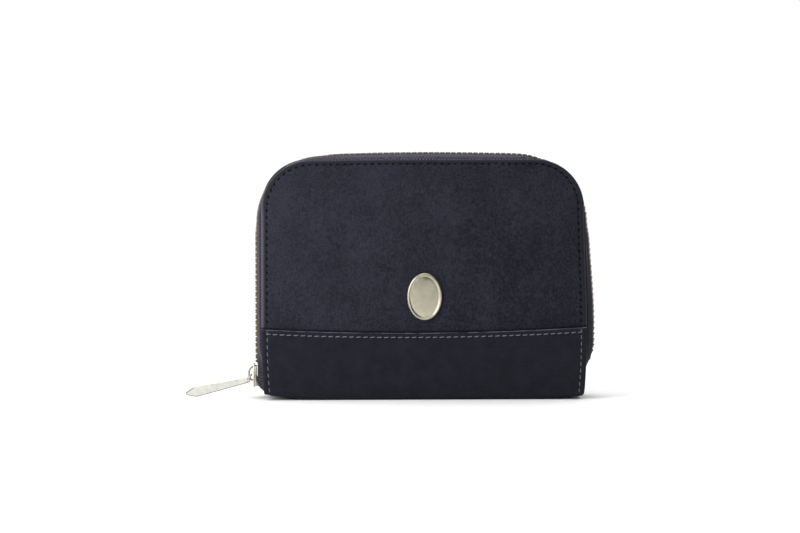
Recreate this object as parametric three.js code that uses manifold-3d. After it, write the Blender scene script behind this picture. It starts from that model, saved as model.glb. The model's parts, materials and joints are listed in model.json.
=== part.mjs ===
// Zip-around wallet standing on its spine, as an assembly of separate named pieces.
// Millimetres. X runs across the width, Y runs through the thickness with the front
// cover at -Y, and +Z is up. The origin is on the resting surface, under the spine.

import * as THREE from 'three';
import * as BufferGeometryUtils from 'three/addons/utils/BufferGeometryUtils.js';
import Module from 'manifold-3d';

const wasm = await Module();
wasm.setup();

// ---- Driving dimensions -------------------------------------------------------------

// Cover outline, seen from the front.
const COVER_HALF_W = 67.6;
const COVER_TOP = 99.5;
const COVER_CORNER_R = 20;
const TAPER_TOP = 25;      // below this height the sides lean in
const TAPER_IN = 1.2;      // by this much at the spine

// Layers of one cover, as distances from the wallet's middle plane.
const LAYER = {
  coinWall: [2.5, 3.1],
  lining: [9.8, 10.3],
  stiffener: [10.4, 11.1],
  suede: [11.1, 11.9],
  band: [11.1, 12.6],
  emblem: [11.9, 13.1],
};
const SUEDE_LOW = 22;           // the suede ends under the band here
const BAND_LAP = 21.7;          // above this the band is skived to lie over the suede
const BAND_TOP_MID = 28.5;
const BAND_TOP_RISE = 2.0;      // the seam is this much higher at the sides
const FRONT_BAND_LOW = 4;
const LINING_INSET = 3.4;
const LINING_LOW = 4;
const STIFFENER_INSET = 8;
const STIFFENER_LOW = 6;

// Spine.
const SPINE_LEATHER = 0.9;
const SPINE_FRONT_EDGE = -7.5;
const SPINE_CORNER_R = 3;
const SPINE_INNER_CORNER = 1;
const SPINE_STIFFENER = { z: [1.0, 1.8], y: [-7, 8.6], halfW: 60 };
const SPINE_LINING = { z: [1.9, 2.3], y: [-7, 8.6], halfW: 62 };

// Card pockets: one leaf per tier, staggered upward from the inside out.
const CARD_HALF_W = 48;
const CARD_LOW = 8;
const CARD_LEAF = 0.4;
const CARD_STEP = 0.6;
const CARD_FACE = 7.4;          // inner face of the first leaf
const CARD_TOPS = [55, 66, 77, 88];
const THUMB_NOTCH = { depth: 2.2, halfW: 10 };

// Main zip: the line that the closed teeth follow round the wallet.
const RIM = { halfW: 69.05, top: 101.55, r: 26.5, low: 2.4 };
const RIM_END = { z: 24.5, r: 35, angle: THREE.MathUtils.degToRad(25) };
const ARC_STEPS = 10;
const END_STEPS = 4;
const SHORTEST_STEP = 0.2;
const TAPE_THICK = 0.5;
// Tape section: [distance from the middle plane, distance in from the rim line].
const TAPE_LINE = [[10.75, 6.0], [10.75, 2.0], [10.1, 0.8], [7.5, 0.25], [2.6, 0]];
const TOOTH = { pitch: 2.36, along: 0.85, across: 1.9, reach: [-0.25, 2.3] };
const TOOTH_CORD = { from: 1.3, to: 2.1, half: 0.35, past: 0.7 };
const TEETH_FROM_Z = 15.6;
const TEETH_PER_ROW = 121;
const TOP_STOP = { z: [3.0, 4.3], from: 0.7, to: 2.3, half: 0.85 };
const BOTTOM_STOP = { after: 1.9, along: 1.7, half: 2.3, thick: 1.7 };

// Main slider, at the closed end of the zip on the left.
const SLIDER = {
  outer: [-71.1, -70.3],
  inner: [-67.8, -67.0],
  z: [4.6, 14.6],
  halfLow: 3.7,
  halfHigh: 3.3,
  shoulder: 3.2,             // the wide mouth is this long
  channel: 2.65,
  slotHalf: 0.5,
  bevel: 0.8,
};
const DIAMOND = { half: 1.2, low: 4.6, wide: 6.6, high: 9.2 };
const BITE = 0.2;               // how far a joined piece reaches into its neighbour
const CROWN = { z: 9.8, outer: 2.0, inner: 1.2, half: 0.4 };
const RING = { pivotX: -71.75, between: 2.9, wire: 0.35, drop: THREE.MathUtils.degToRad(53) };
const PULL = {
  drop: THREE.MathUtils.degToRad(12.6),
  eyeR: 0.62,
  endR: 1.2,
  shoulder: 22.2,
  shoulderHalf: 2.2,
  tip: 26.2,
  tipHalf: 0.5,
  half: 0.6,
};

// Emblem, a plain oval held by two prongs through the suede.
const EMBLEM = { z: 43, halfW: 7.25, halfH: 10, rim: 1.3, field: 0.35 };
const PRONG = { z: 5, w: 1.6, h: 0.5, reach: 10.6, clear: 0.3 };
const BACKING = { halfW: 6, halfH: 8, y: [10.5, 11.0], window: 0.5 };

// Coin pocket, in the middle of the wallet.
const COIN = { halfW: 52, low: 5, top: 86, wall: 0.6, cornerR: 4 };
const COIN_TAB = { half: 0.3, z: [2.3, 4.7], halfW: 50 };
const COIN_TAPE = { z: [86.3, 86.7], y: [1.0, 3.1], halfW: 50 };
const COIN_COIL = { z: [86.0, 87.0], y: [0.1, 1.0], x: [-38, 46] };
const COIN_STOP = { x: [-49, 46.4], long: 1.6, half: 0.9, z: [86.05, 86.95] };
const COIN_SLIDER = { x: [-46, -39], half: 2.2, z: [85.0, 88.1], plate: 0.55, channel: 1.5 };
const COIN_SLOT = [86.05, 86.95];
const COIN_DIAMOND = { x: [-46, -43.6], half: 0.5 };
const COIN_CROWN = { x: -42.5, outer: 1.7, inner: 0.95, half: 0.45 };
const COIN_PULL = { long: 10, halfEnd: 1.7, rod: 0.25, lift: 0.45, window: 2.4, arm: 0.6, clear: 0.25 };

// Folded side gussets: plan points of the right one.
const GUSSET_PLAN = [
  [61.5, -9.5],
  [54.6, -6.9],
  [61.5, -4.5],
  [54, 0],
  [61.5, 4.5],
  [54.6, 6.9],
  [61.5, 9.5],
];
const GUSSET = { thick: 0.35, z: [4, 62] };

// ---- Materials ----------------------------------------------------------------------

function finish(color, roughness, metalness) {
  return new THREE.MeshStandardMaterial({ color, roughness, metalness });
}

const suede = () => finish(0x2b2c3a, 0.95, 0);
const leather = () => finish(0x232431, 0.5, 0);
const lining = () => finish(0x262a3c, 0.85, 0);
const board = () => finish(0x6b6459, 0.9, 0);
const tape = () => finish(0x4a4858, 0.9, 0);
const brass = () => finish(0xb08d57, 0.35, 0.9);
const paleGold = () => finish(0xd8cfae, 0.25, 0.95);
const nylon = () => finish(0x2a2c3a, 0.6, 0);

// ---- Making solids ------------------------------------------------------------------

const wallet = new THREE.Group();
wallet.name = 'zip_around_wallet';

function add(name, geometry, material) {
  const mesh = new THREE.Mesh(geometry, material);
  mesh.name = name;
  wallet.add(mesh);
  return mesh;
}

// A shape drawn in X and Z, as a plate from one Y to another.
function plate(shape, yFrom, yTo, curveSegments = 9) {
  const depth = yTo - yFrom;
  const geometry = new THREE.ExtrudeGeometry(shape, { depth, bevelEnabled: false, curveSegments });
  return geometry.rotateX(Math.PI / 2).translate(0, yTo, 0);
}

// The same plate on the front (side -1) or the back (side +1) of the middle plane.
function layerPlate(shape, side, layer, curveSegments) {
  const [near, far] = layer;
  return side < 0
    ? plate(shape, -far, -near, curveSegments)
    : plate(shape, near, far, curveSegments);
}

// A shape drawn in Y and Z, as a beam from one X to another.
function beam(shape, xFrom, xTo, curveSegments = 6) {
  const depth = xTo - xFrom;
  const geometry = new THREE.ExtrudeGeometry(shape, { depth, bevelEnabled: false, curveSegments });
  const turn = new THREE.Matrix4().makeBasis(
    new THREE.Vector3(0, 1, 0),
    new THREE.Vector3(0, 0, 1),
    new THREE.Vector3(1, 0, 0),
  );
  return geometry.applyMatrix4(turn).translate(xFrom, 0, 0);
}

function box(x, y, z) {
  const geometry = new THREE.BoxGeometry(x[1] - x[0], y[1] - y[0], z[1] - z[0]);
  return geometry.translate((x[0] + x[1]) / 2, (y[0] + y[1]) / 2, (z[0] + z[1]) / 2);
}

function mirrored(span, side) {
  return side < 0 ? [-span[1], -span[0]] : span;
}

function toSolid(geometry) {
  const bare = geometry.clone();
  bare.deleteAttribute('normal');
  bare.deleteAttribute('uv');
  const merged = BufferGeometryUtils.mergeVertices(bare, 1e-4);
  return new wasm.Manifold(new wasm.Mesh({
    numProp: 3,
    vertProperties: new Float32Array(merged.attributes.position.array),
    triVerts: new Uint32Array(merged.index.array),
  }));
}

function toGeometry(solid) {
  const mesh = solid.getMesh();
  const geometry = new THREE.BufferGeometry();
  geometry.setAttribute('position', new THREE.BufferAttribute(mesh.vertProperties, 3));
  geometry.setIndex(new THREE.BufferAttribute(mesh.triVerts, 1));
  geometry.computeVertexNormals();
  return geometry;
}

// ---- Outlines -----------------------------------------------------------------------

function taperAt(z) {
  const below = Math.max(0, TAPER_TOP - z) / TAPER_TOP;
  return TAPER_IN * below * below;
}

// The cover's outline, drawn in from its edge, from a given height upward.
function coverShape(inset, low) {
  const halfW = COVER_HALF_W - inset;
  const top = COVER_TOP - inset;
  const r = COVER_CORNER_R - inset;
  const heights = [low, (2 * low + TAPER_TOP) / 3, (low + 2 * TAPER_TOP) / 3, TAPER_TOP];
  const shape = new THREE.Shape();
  shape.moveTo(-halfW + taperAt(low), low);
  shape.lineTo(halfW - taperAt(low), low);
  for (const z of heights.slice(1)) shape.lineTo(halfW - taperAt(z), z);
  shape.lineTo(halfW, top - r);
  shape.absarc(halfW - r, top - r, r, 0, Math.PI / 2, false);
  shape.absarc(-halfW + r, top - r, r, Math.PI / 2, Math.PI, false);
  for (const z of heights.slice(1).reverse()) shape.lineTo(-halfW + taperAt(z), z);
  return shape;
}

function bandTopAt(x) {
  return BAND_TOP_MID + BAND_TOP_RISE * (x / COVER_HALF_W) ** 2;
}

// The leather band's outline, with its gently dipping top edge.
function bandShape(low) {
  const halfLow = COVER_HALF_W - taperAt(low);
  const shape = new THREE.Shape();
  shape.moveTo(-halfLow, low);
  shape.lineTo(halfLow, low);
  for (const z of [low / 2 + TAPER_TOP / 2, TAPER_TOP]) shape.lineTo(COVER_HALF_W - taperAt(z), z);
  const strips = 10;
  for (let i = 0; i <= strips; i += 1) {
    const x = COVER_HALF_W * (1 - (2 * i) / strips);
    shape.lineTo(x, bandTopAt(x));
  }
  for (const z of [TAPER_TOP, low / 2 + TAPER_TOP / 2]) shape.lineTo(-COVER_HALF_W + taperAt(z), z);
  return shape;
}

function ellipseShape(halfW, halfH, z) {
  const shape = new THREE.Shape();
  shape.absellipse(0, z, halfW, halfH, 0, 2 * Math.PI, false, 0);
  return shape;
}

function rectangle(a, b) {
  const shape = new THREE.Shape();
  shape.moveTo(a[0], b[0]);
  shape.lineTo(a[1], b[0]);
  shape.lineTo(a[1], b[1]);
  shape.lineTo(a[0], b[1]);
  return shape;
}

// A strip of even thickness along a line of points, with mitred bends.
function stripShape(points, thickness) {
  const line = points.map(([a, b]) => new THREE.Vector2(a, b));
  const sides = [[], []];
  line.forEach((point, i) => {
    const before = line[Math.max(i - 1, 0)];
    const after = line[Math.min(i + 1, line.length - 1)];
    const dirs = [point.clone().sub(before), after.clone().sub(point)];
    const used = dirs.filter((d) => d.length() > 0).map((d) => d.normalize());
    const normals = used.map((d) => new THREE.Vector2(-d.y, d.x));
    const mitre = normals.reduce((sum, n) => sum.add(n), new THREE.Vector2()).normalize();
    const reach = thickness / 2 / mitre.dot(normals[0].clone().normalize());
    sides[0].push(point.clone().addScaledVector(mitre, reach));
    sides[1].push(point.clone().addScaledVector(mitre, -reach));
  });
  return new THREE.Shape([...sides[0], ...sides[1].reverse()]);
}

// ---- The rim line that the zip follows ----------------------------------------------

const SIDE_TOP = RIM.top - RIM.r;
const TOP_HALF = RIM.halfW - RIM.r;

function linePiece(from, to) {
  return { kind: 'line', from, to, steps: 1 };
}

function arcPiece(at, r, a, steps) {
  return { kind: 'arc', at, r, a, steps };
}

// Left leg, left corner, top, right corner, right leg, and the inward curl at its end.
const RIM_PIECES = [
  linePiece([-RIM.halfW, RIM.low], [-RIM.halfW, SIDE_TOP]),
  arcPiece([-TOP_HALF, SIDE_TOP], RIM.r, [Math.PI, Math.PI / 2], ARC_STEPS),
  linePiece([-TOP_HALF, RIM.top], [TOP_HALF, RIM.top]),
  arcPiece([TOP_HALF, SIDE_TOP], RIM.r, [Math.PI / 2, 0], ARC_STEPS),
  linePiece([RIM.halfW, SIDE_TOP], [RIM.halfW, RIM_END.z]),
  arcPiece([RIM.halfW - RIM_END.r, RIM_END.z], RIM_END.r, [0, -RIM_END.angle], END_STEPS),
];

function pieceLength(piece) {
  if (piece.kind === 'arc') return piece.r * Math.abs(piece.a[1] - piece.a[0]);
  return Math.hypot(piece.to[0] - piece.from[0], piece.to[1] - piece.from[1]);
}

// Point and direction at a fraction of one piece. Every arc here turns clockwise.
function onPiece(piece, f) {
  if (piece.kind === 'arc') {
    const a = piece.a[0] + (piece.a[1] - piece.a[0]) * f;
    const point = [piece.at[0] + piece.r * Math.cos(a), piece.at[1] + piece.r * Math.sin(a)];
    return { point, along: [Math.sin(a), -Math.cos(a)] };
  }
  const dx = piece.to[0] - piece.from[0];
  const dz = piece.to[1] - piece.from[1];
  const length = Math.hypot(dx, dz);
  return {
    point: [piece.from[0] + dx * f, piece.from[1] + dz * f],
    along: [dx / length, dz / length],
  };
}

// Point and direction at a distance along the rim line from its left end.
function onRim(distance) {
  let left = distance;
  for (const piece of RIM_PIECES) {
    const length = pieceLength(piece);
    if (left <= length) return onPiece(piece, left / length);
    left -= length;
  }
  return onPiece(RIM_PIECES[RIM_PIECES.length - 1], 1);
}

const RIM_LENGTH = RIM_PIECES.reduce((sum, piece) => sum + pieceLength(piece), 0);

// The rim line between two distances, as a curve whose steps meet the piece ends.
class RimCurve extends THREE.Curve {
  constructor(from = 0, to = RIM_LENGTH) {
    super();
    this.stations = [];
    let start = 0;
    for (const piece of RIM_PIECES) {
      const length = pieceLength(piece);
      for (let i = 0; i <= piece.steps; i += 1) {
        const s = start + (length * i) / piece.steps;
        if (s > from && s < to && s !== this.stations.at(-1)) this.stations.push(s);
      }
      start += length;
    }
    const inside = (s) => s - from > SHORTEST_STEP && to - s > SHORTEST_STEP;
    this.stations = [from, ...this.stations.filter(inside), to];
    this.steps = this.stations.length - 1;
  }

  distanceAt(t) {
    const place = Math.min(Math.max(t * this.steps, 0), this.steps);
    const i = Math.min(Math.floor(place + 1e-9), this.steps - 1);
    return this.stations[i] + (this.stations[i + 1] - this.stations[i]) * (place - i);
  }

  getUtoTmapping(u) {
    return u;
  }

  getPoint(t, target = new THREE.Vector3()) {
    const { point } = onRim(this.distanceAt(t));
    return target.set(point[0], 0, point[1]);
  }

  getTangent(t, target = new THREE.Vector3()) {
    const { along } = onRim(this.distanceAt(t));
    return target.set(along[0], 0, along[1]);
  }
}

// Sweeps a section drawn as [distance from the middle plane, distance in from the rim].
function sweepRim(shape, side, from, to) {
  const path = new RimCurve(from, to);
  const points = shape.extractPoints(4).shape.map((p) => new THREE.Vector2(-side * p.x, p.y));
  return new THREE.ExtrudeGeometry(new THREE.Shape(points), {
    steps: path.steps,
    extrudePath: path,
    bevelEnabled: false,
  });
}

// A block set on the rim line: along it, through the thickness and across it.
function rimBlock(distance, along, y, across) {
  const { point, along: dir } = onRim(distance);
  const matrix = new THREE.Matrix4().makeBasis(
    new THREE.Vector3(dir[1], 0, -dir[0]),
    new THREE.Vector3(0, 1, 0),
    new THREE.Vector3(dir[0], 0, dir[1]),
  );
  matrix.setPosition(point[0], 0, point[1]);
  const geometry = new THREE.BoxGeometry(across, y[1] - y[0], along);
  return geometry.translate(0, (y[0] + y[1]) / 2, 0).applyMatrix4(matrix);
}

// ---- Covers -------------------------------------------------------------------------

function prongSlot(z, grow) {
  const halfW = PRONG.w / 2 + grow;
  const halfH = PRONG.h / 2 + grow;
  return rectangle([-halfW, halfW], [z - halfH, z + halfH]);
}

const PRONG_HEIGHTS = [EMBLEM.z - PRONG.z, EMBLEM.z + PRONG.z];

function addSuede(name, side, pierced) {
  const shape = coverShape(0, SUEDE_LOW);
  if (pierced) shape.holes = PRONG_HEIGHTS.map((z) => prongSlot(z, PRONG.clear));
  add(name, layerPlate(shape, side, LAYER.suede), suede());
}

function addStiffener(name, side, windowed) {
  const shape = coverShape(STIFFENER_INSET, STIFFENER_LOW);
  if (windowed) {
    const grow = BACKING.window;
    shape.holes = [ellipseShape(BACKING.halfW + grow, BACKING.halfH + grow, EMBLEM.z)];
  }
  add(name, layerPlate(shape, side, LAYER.stiffener), board());
}

function addLining(name, side) {
  add(name, layerPlate(coverShape(LINING_INSET, LINING_LOW), side, LAYER.lining), lining());
}

// The room that the band leaves for the suede under its top edge.
function lapCutter(side) {
  const over = 1;
  const x = [-COVER_HALF_W - over, COVER_HALF_W + over];
  const y = mirrored([LAYER.band[0] - over, LAYER.suede[1]], side);
  return toSolid(box(x, y, [BAND_LAP, BAND_TOP_MID + BAND_TOP_RISE + over]));
}

function addFrontBand() {
  const whole = toSolid(layerPlate(bandShape(FRONT_BAND_LOW), -1, LAYER.band));
  add('front_band', toGeometry(whole.subtract(lapCutter(-1))), leather());
}

// One piece of leather under the spine and up the back, with a rounded rear corner.
function addSpineBand() {
  const [inner, outer] = LAYER.band;
  const over = 1;
  const top = BAND_TOP_MID + BAND_TOP_RISE + over;
  const section = new THREE.Shape();
  section.moveTo(SPINE_FRONT_EDGE, 0);
  section.lineTo(outer - SPINE_CORNER_R, 0);
  section.absarc(outer - SPINE_CORNER_R, SPINE_CORNER_R, SPINE_CORNER_R, -Math.PI / 2, 0, false);
  section.lineTo(outer, top);
  section.lineTo(inner, top);
  section.lineTo(inner, SPINE_LEATHER + SPINE_INNER_CORNER);
  section.lineTo(inner - SPINE_INNER_CORNER, SPINE_LEATHER);
  section.lineTo(SPINE_FRONT_EDGE, SPINE_LEATHER);
  const wrap = toSolid(beam(section, -COVER_HALF_W - over, COVER_HALF_W + over));
  const outline = toSolid(plate(bandShape(0), -outer - over, outer + over));
  add('spine_band', toGeometry(wrap.intersect(outline).subtract(lapCutter(1))), leather());
}

function addSpineLayers() {
  const slab = ({ z, y, halfW }) => box([-halfW, halfW], y, z);
  add('spine_stiffener', slab(SPINE_STIFFENER), board());
  add('spine_lining', slab(SPINE_LINING), lining());
}

// One leaf of the card pockets, with a shallow thumb notch in its top edge.
function cardLeafShape(top) {
  const shape = new THREE.Shape();
  shape.moveTo(-CARD_HALF_W, CARD_LOW);
  shape.lineTo(CARD_HALF_W, CARD_LOW);
  shape.lineTo(CARD_HALF_W, top);
  shape.lineTo(THUMB_NOTCH.halfW, top);
  shape.quadraticCurveTo(0, top - 2 * THUMB_NOTCH.depth, -THUMB_NOTCH.halfW, top);
  shape.lineTo(-CARD_HALF_W, top);
  return shape;
}

function addCardPockets(coverName, side) {
  CARD_TOPS.forEach((top, tier) => {
    const near = CARD_FACE + tier * CARD_STEP;
    const geometry = layerPlate(cardLeafShape(top), side, [near, near + CARD_LEAF]);
    add(`${coverName}_card_pocket_${tier + 1}`, geometry, leather());
  });
}

// ---- Main zip -----------------------------------------------------------------------

function addTape(name, side) {
  const section = stripShape(TAPE_LINE, TAPE_THICK);
  add(name, sweepRim(section, side, 0, RIM_LENGTH), tape());
}

// A row of metal teeth clamped on the cord at the tape's edge.
function addTeeth(name, side) {
  const first = TEETH_FROM_Z - RIM.low + (side > 0 ? TOOTH.pitch / 2 : 0);
  const last = first + (TEETH_PER_ROW - 1) * TOOTH.pitch;
  const half = TOOTH_CORD.half;
  const section = rectangle([TOOTH_CORD.from, TOOTH_CORD.to], [-half, half]);
  let row = toSolid(sweepRim(section, side, first - TOOTH_CORD.past, last + TOOTH_CORD.past));
  for (let i = 0; i < TEETH_PER_ROW; i += 1) {
    const y = mirrored(TOOTH.reach, side);
    row = row.add(toSolid(rimBlock(first + i * TOOTH.pitch, TOOTH.along, y, TOOTH.across)));
  }
  add(name, toGeometry(row), brass());
}

function addTopStop(name, side) {
  const middle = (TOP_STOP.z[0] + TOP_STOP.z[1]) / 2 - RIM.low;
  const along = TOP_STOP.z[1] - TOP_STOP.z[0];
  const y = mirrored([TOP_STOP.from, TOP_STOP.to], side);
  add(name, rimBlock(middle, along, y, 2 * TOP_STOP.half), brass());
}

function addBottomStop() {
  const lastTooth = TEETH_FROM_Z - RIM.low + (TEETH_PER_ROW - 0.5) * TOOTH.pitch;
  const y = [-BOTTOM_STOP.half, BOTTOM_STOP.half];
  const distance = lastTooth + BOTTOM_STOP.after;
  add('zip_bottom_stop', rimBlock(distance, BOTTOM_STOP.along, y, BOTTOM_STOP.thick), brass());
}

// The slider's outline in Y and Z, wider at the mouth that faces the open end.
function sliderOutline() {
  const { z, halfLow, halfHigh, shoulder, bevel } = SLIDER;
  const shape = new THREE.Shape();
  shape.moveTo(-halfLow + bevel, z[0]);
  shape.lineTo(halfLow - bevel, z[0]);
  shape.lineTo(halfLow, z[0] + bevel);
  shape.lineTo(halfLow, z[0] + shoulder);
  shape.lineTo(halfHigh, z[1] - bevel);
  shape.lineTo(halfHigh - bevel, z[1]);
  shape.lineTo(-halfHigh + bevel, z[1]);
  shape.lineTo(-halfHigh, z[1] - bevel);
  shape.lineTo(-halfLow, z[0] + shoulder);
  shape.lineTo(-halfLow, z[0] + bevel);
  return shape;
}

function addSliderBody() {
  const { outer, inner, z, halfLow, channel, slotHalf } = SLIDER;
  const past = 1;
  const heights = [z[0] - past, z[1] + past];
  const block = toSolid(beam(sliderOutline(), outer[0], inner[1]));
  const channelCut = toSolid(box([outer[1], inner[0]], [-channel, channel], heights));
  const slotX = [-RIM.halfW - slotHalf, -RIM.halfW + slotHalf];
  const slotCut = toSolid(box(slotX, [-halfLow - past, halfLow + past], heights));
  const wedge = new THREE.Shape();
  wedge.moveTo(0, DIAMOND.low);
  wedge.lineTo(DIAMOND.half, DIAMOND.wide);
  wedge.lineTo(0, DIAMOND.high);
  wedge.lineTo(-DIAMOND.half, DIAMOND.wide);
  const post = toSolid(beam(wedge, outer[0] + BITE, inner[1] - BITE));
  const body = block.subtract(channelCut).subtract(slotCut).add(post);
  add('slider_body', toGeometry(body), paleGold());
}

// A half-round arch standing on a slider's plate.
function archShape(outer, inner, segments = 8) {
  const shape = new THREE.Shape();
  for (let i = 0; i <= segments; i += 1) {
    const a = (Math.PI * i) / segments;
    shape[i === 0 ? 'moveTo' : 'lineTo'](outer * Math.cos(a), outer * Math.sin(a));
  }
  for (let i = segments; i >= 0; i -= 1) {
    const a = (Math.PI * i) / segments;
    shape.lineTo(inner * Math.cos(a), inner * Math.sin(a));
  }
  return shape;
}

// The main slider's crown stands out from the outer plate, towards -X.
function addSliderCrown() {
  const geometry = plate(archShape(CROWN.outer, CROWN.inner), -CROWN.half, CROWN.half);
  geometry.rotateY(-Math.PI / 2).translate(SLIDER.outer[0], 0, CROWN.z);
  add('slider_crown', geometry, paleGold());
}

const RING_PIVOT = [RING.pivotX, CROWN.z];
const PULL_EYE = [
  RING_PIVOT[0] - RING.between * Math.cos(RING.drop),
  RING_PIVOT[1] - RING.between * Math.sin(RING.drop),
];

// The ring that links the crown to the pull: its plane holds the Y axis.
function addPullRing() {
  const geometry = new THREE.TorusGeometry(RING.between / 2, RING.wire, 8, 24);
  geometry.rotateY(-RING.drop);
  const x = (RING_PIVOT[0] + PULL_EYE[0]) / 2;
  const z = (RING_PIVOT[1] + PULL_EYE[1]) / 2;
  add('pull_ring', geometry.translate(x, 0, z), paleGold());
}

// The flat tapered pull with its narrow blunt end, drawn outward from its eye.
function addPullTab() {
  const shape = new THREE.Shape();
  const lean = Math.atan2(PULL.shoulderHalf - PULL.endR, PULL.shoulder);
  const round = 8;
  for (let i = 0; i <= round; i += 1) {
    const a = Math.PI / 2 + lean + ((Math.PI - 2 * lean) * i) / round;
    shape[i === 0 ? 'moveTo' : 'lineTo'](PULL.endR * Math.cos(a), PULL.endR * Math.sin(a));
  }
  shape.lineTo(PULL.shoulder, -PULL.shoulderHalf);
  shape.lineTo(PULL.tip, -PULL.tipHalf);
  shape.lineTo(PULL.tip, PULL.tipHalf);
  shape.lineTo(PULL.shoulder, PULL.shoulderHalf);
  const eye = new THREE.Path();
  eye.absarc(0, 0, PULL.eyeR, 0, 2 * Math.PI, true);
  shape.holes = [eye];
  const geometry = plate(shape, -PULL.half, PULL.half, 6);
  geometry.rotateY(Math.PI - PULL.drop).translate(PULL_EYE[0], 0, PULL_EYE[1]);
  add('pull_tab', geometry, paleGold());
}

// ---- Emblem -------------------------------------------------------------------------

// A plain oval with a raised rim and two prongs behind.
function addEmblem() {
  const [back, face] = LAYER.emblem;
  const oval = toSolid(plate(ellipseShape(EMBLEM.halfW, EMBLEM.halfH, EMBLEM.z), -face, -back, 9));
  const field = ellipseShape(EMBLEM.halfW - EMBLEM.rim, EMBLEM.halfH - EMBLEM.rim, EMBLEM.z);
  let plateSolid = oval.subtract(toSolid(plate(field, -face - 1, -face + EMBLEM.field, 9)));
  for (const z of PRONG_HEIGHTS) {
    plateSolid = plateSolid.add(toSolid(plate(prongSlot(z, 0), -back - BITE, -PRONG.reach)));
  }
  add('emblem_plate', toGeometry(plateSolid), paleGold());
}

function addEmblemBacking() {
  const shape = ellipseShape(BACKING.halfW, BACKING.halfH, EMBLEM.z);
  shape.holes = PRONG_HEIGHTS.map((z) => prongSlot(z, PRONG.clear));
  add('emblem_backing', layerPlate(shape, -1, BACKING.y, 8), brass());
}

// ---- Coin pocket --------------------------------------------------------------------

function coinWallShape() {
  const { halfW, low, top, cornerR: r } = COIN;
  const shape = new THREE.Shape();
  shape.moveTo(-halfW, top);
  shape.lineTo(-halfW, low + r);
  shape.absarc(-halfW + r, low + r, r, Math.PI, 1.5 * Math.PI, false);
  shape.absarc(halfW - r, low + r, r, 1.5 * Math.PI, 2 * Math.PI, false);
  shape.lineTo(halfW, top);
  return shape;
}

// The strip that joins the two walls down the sides and along the bottom.
function coinEdgeShape() {
  const { halfW, low, top, wall, cornerR: r } = COIN;
  const inR = r - wall;
  const shape = coinWallShape();
  shape.lineTo(halfW - wall, top);
  shape.lineTo(halfW - wall, low + r);
  shape.absarc(halfW - r, low + r, inR, 2 * Math.PI, 1.5 * Math.PI, true);
  shape.absarc(-halfW + r, low + r, inR, 1.5 * Math.PI, Math.PI, true);
  shape.lineTo(-halfW + wall, top);
  return shape;
}

function addCoinPocket() {
  add('coin_pocket_front_wall', layerPlate(coinWallShape(), -1, LAYER.coinWall, 4), lining());
  add('coin_pocket_back_wall', layerPlate(coinWallShape(), 1, LAYER.coinWall, 4), lining());
  const half = LAYER.coinWall[0];
  add('coin_pocket_edge', plate(coinEdgeShape(), -half, half, 4), lining());
  const tab = box([-COIN_TAB.halfW, COIN_TAB.halfW], [-COIN_TAB.half, COIN_TAB.half], COIN_TAB.z);
  add('coin_pocket_tab', tab, lining());
}

function addCoinZip() {
  for (const [word, side] of [['front', -1], ['back', 1]]) {
    const across = [-COIN_TAPE.halfW, COIN_TAPE.halfW];
    const tapeY = mirrored(COIN_TAPE.y, side);
    add(`coin_zip_tape_${word}`, box(across, tapeY, COIN_TAPE.z), tape());
    add(`coin_zip_coil_${word}`, box(COIN_COIL.x, mirrored(COIN_COIL.y, side), COIN_COIL.z), nylon());
  }
  const stopY = [-COIN_STOP.half, COIN_STOP.half];
  const [left, right] = COIN_STOP.x;
  add('coin_zip_stop_left', box([left, left + COIN_STOP.long], stopY, COIN_STOP.z), brass());
  add('coin_zip_stop_right', box([right, right + COIN_STOP.long], stopY, COIN_STOP.z), brass());
}

function addCoinSlider() {
  const { x, half, z, plate: thick, channel } = COIN_SLIDER;
  const past = 1;
  const along = [x[0] - past, x[1] + past];
  const block = toSolid(box(x, [-half, half], z));
  const channelCut = toSolid(box(along, [-channel, channel], [z[0] + thick, z[1] - thick]));
  const slotCut = toSolid(box(along, [-half - past, half + past], COIN_SLOT));
  const postZ = [z[0] + thick / 2, z[1] - thick / 2];
  const post = toSolid(box(COIN_DIAMOND.x, [-COIN_DIAMOND.half, COIN_DIAMOND.half], postZ));
  const body = block.subtract(channelCut).subtract(slotCut).add(post);
  add('coin_slider_body', toGeometry(body), paleGold());
  const crown = plate(archShape(COIN_CROWN.outer, COIN_CROWN.inner, 6), -COIN_CROWN.half, COIN_CROWN.half);
  add('coin_slider_crown', crown.translate(COIN_CROWN.x, 0, z[1]), paleGold());
}

// The coin pull is a flat tab whose near bar passes through the crown's arch.
function addCoinPull() {
  const { long, halfEnd, rod, lift, window, arm, clear } = COIN_PULL;
  const forkIn = COIN_CROWN.half + clear;
  const forkOut = forkIn + arm;
  const shape = new THREE.Shape();
  shape.moveTo(-rod, -forkOut);
  shape.lineTo(long, -halfEnd);
  shape.lineTo(long, halfEnd);
  shape.lineTo(-rod, forkOut);
  const gap = rectangle([rod, window], [-forkIn, forkIn]);
  shape.holes = [gap];
  const geometry = new THREE.ExtrudeGeometry(shape, { depth: 2 * rod, bevelEnabled: false });
  geometry.translate(COIN_CROWN.x, 0, COIN_SLIDER.z[1] + lift - rod);
  add('coin_pull_tab', geometry, paleGold());
}

// ---- Gussets ------------------------------------------------------------------------

function addGusset(name, side) {
  const points = GUSSET_PLAN.map(([x, y]) => [side * x, y]);
  const depth = GUSSET.z[1] - GUSSET.z[0];
  const shape = stripShape(points, GUSSET.thick);
  const geometry = new THREE.ExtrudeGeometry(shape, { depth, bevelEnabled: false });
  add(name, geometry.translate(0, 0, GUSSET.z[0]), lining());
}

// ---- Assembly -----------------------------------------------------------------------

addSuede('front_suede_panel', -1, true);
addFrontBand();
addStiffener('front_stiffener', -1, true);
addLining('front_lining', -1);
addCardPockets('front', -1);
addTape('front_zip_tape', -1);
addTeeth('front_zip_teeth', -1);
addTopStop('front_top_stop', -1);
addEmblem();
addEmblemBacking();

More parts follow.
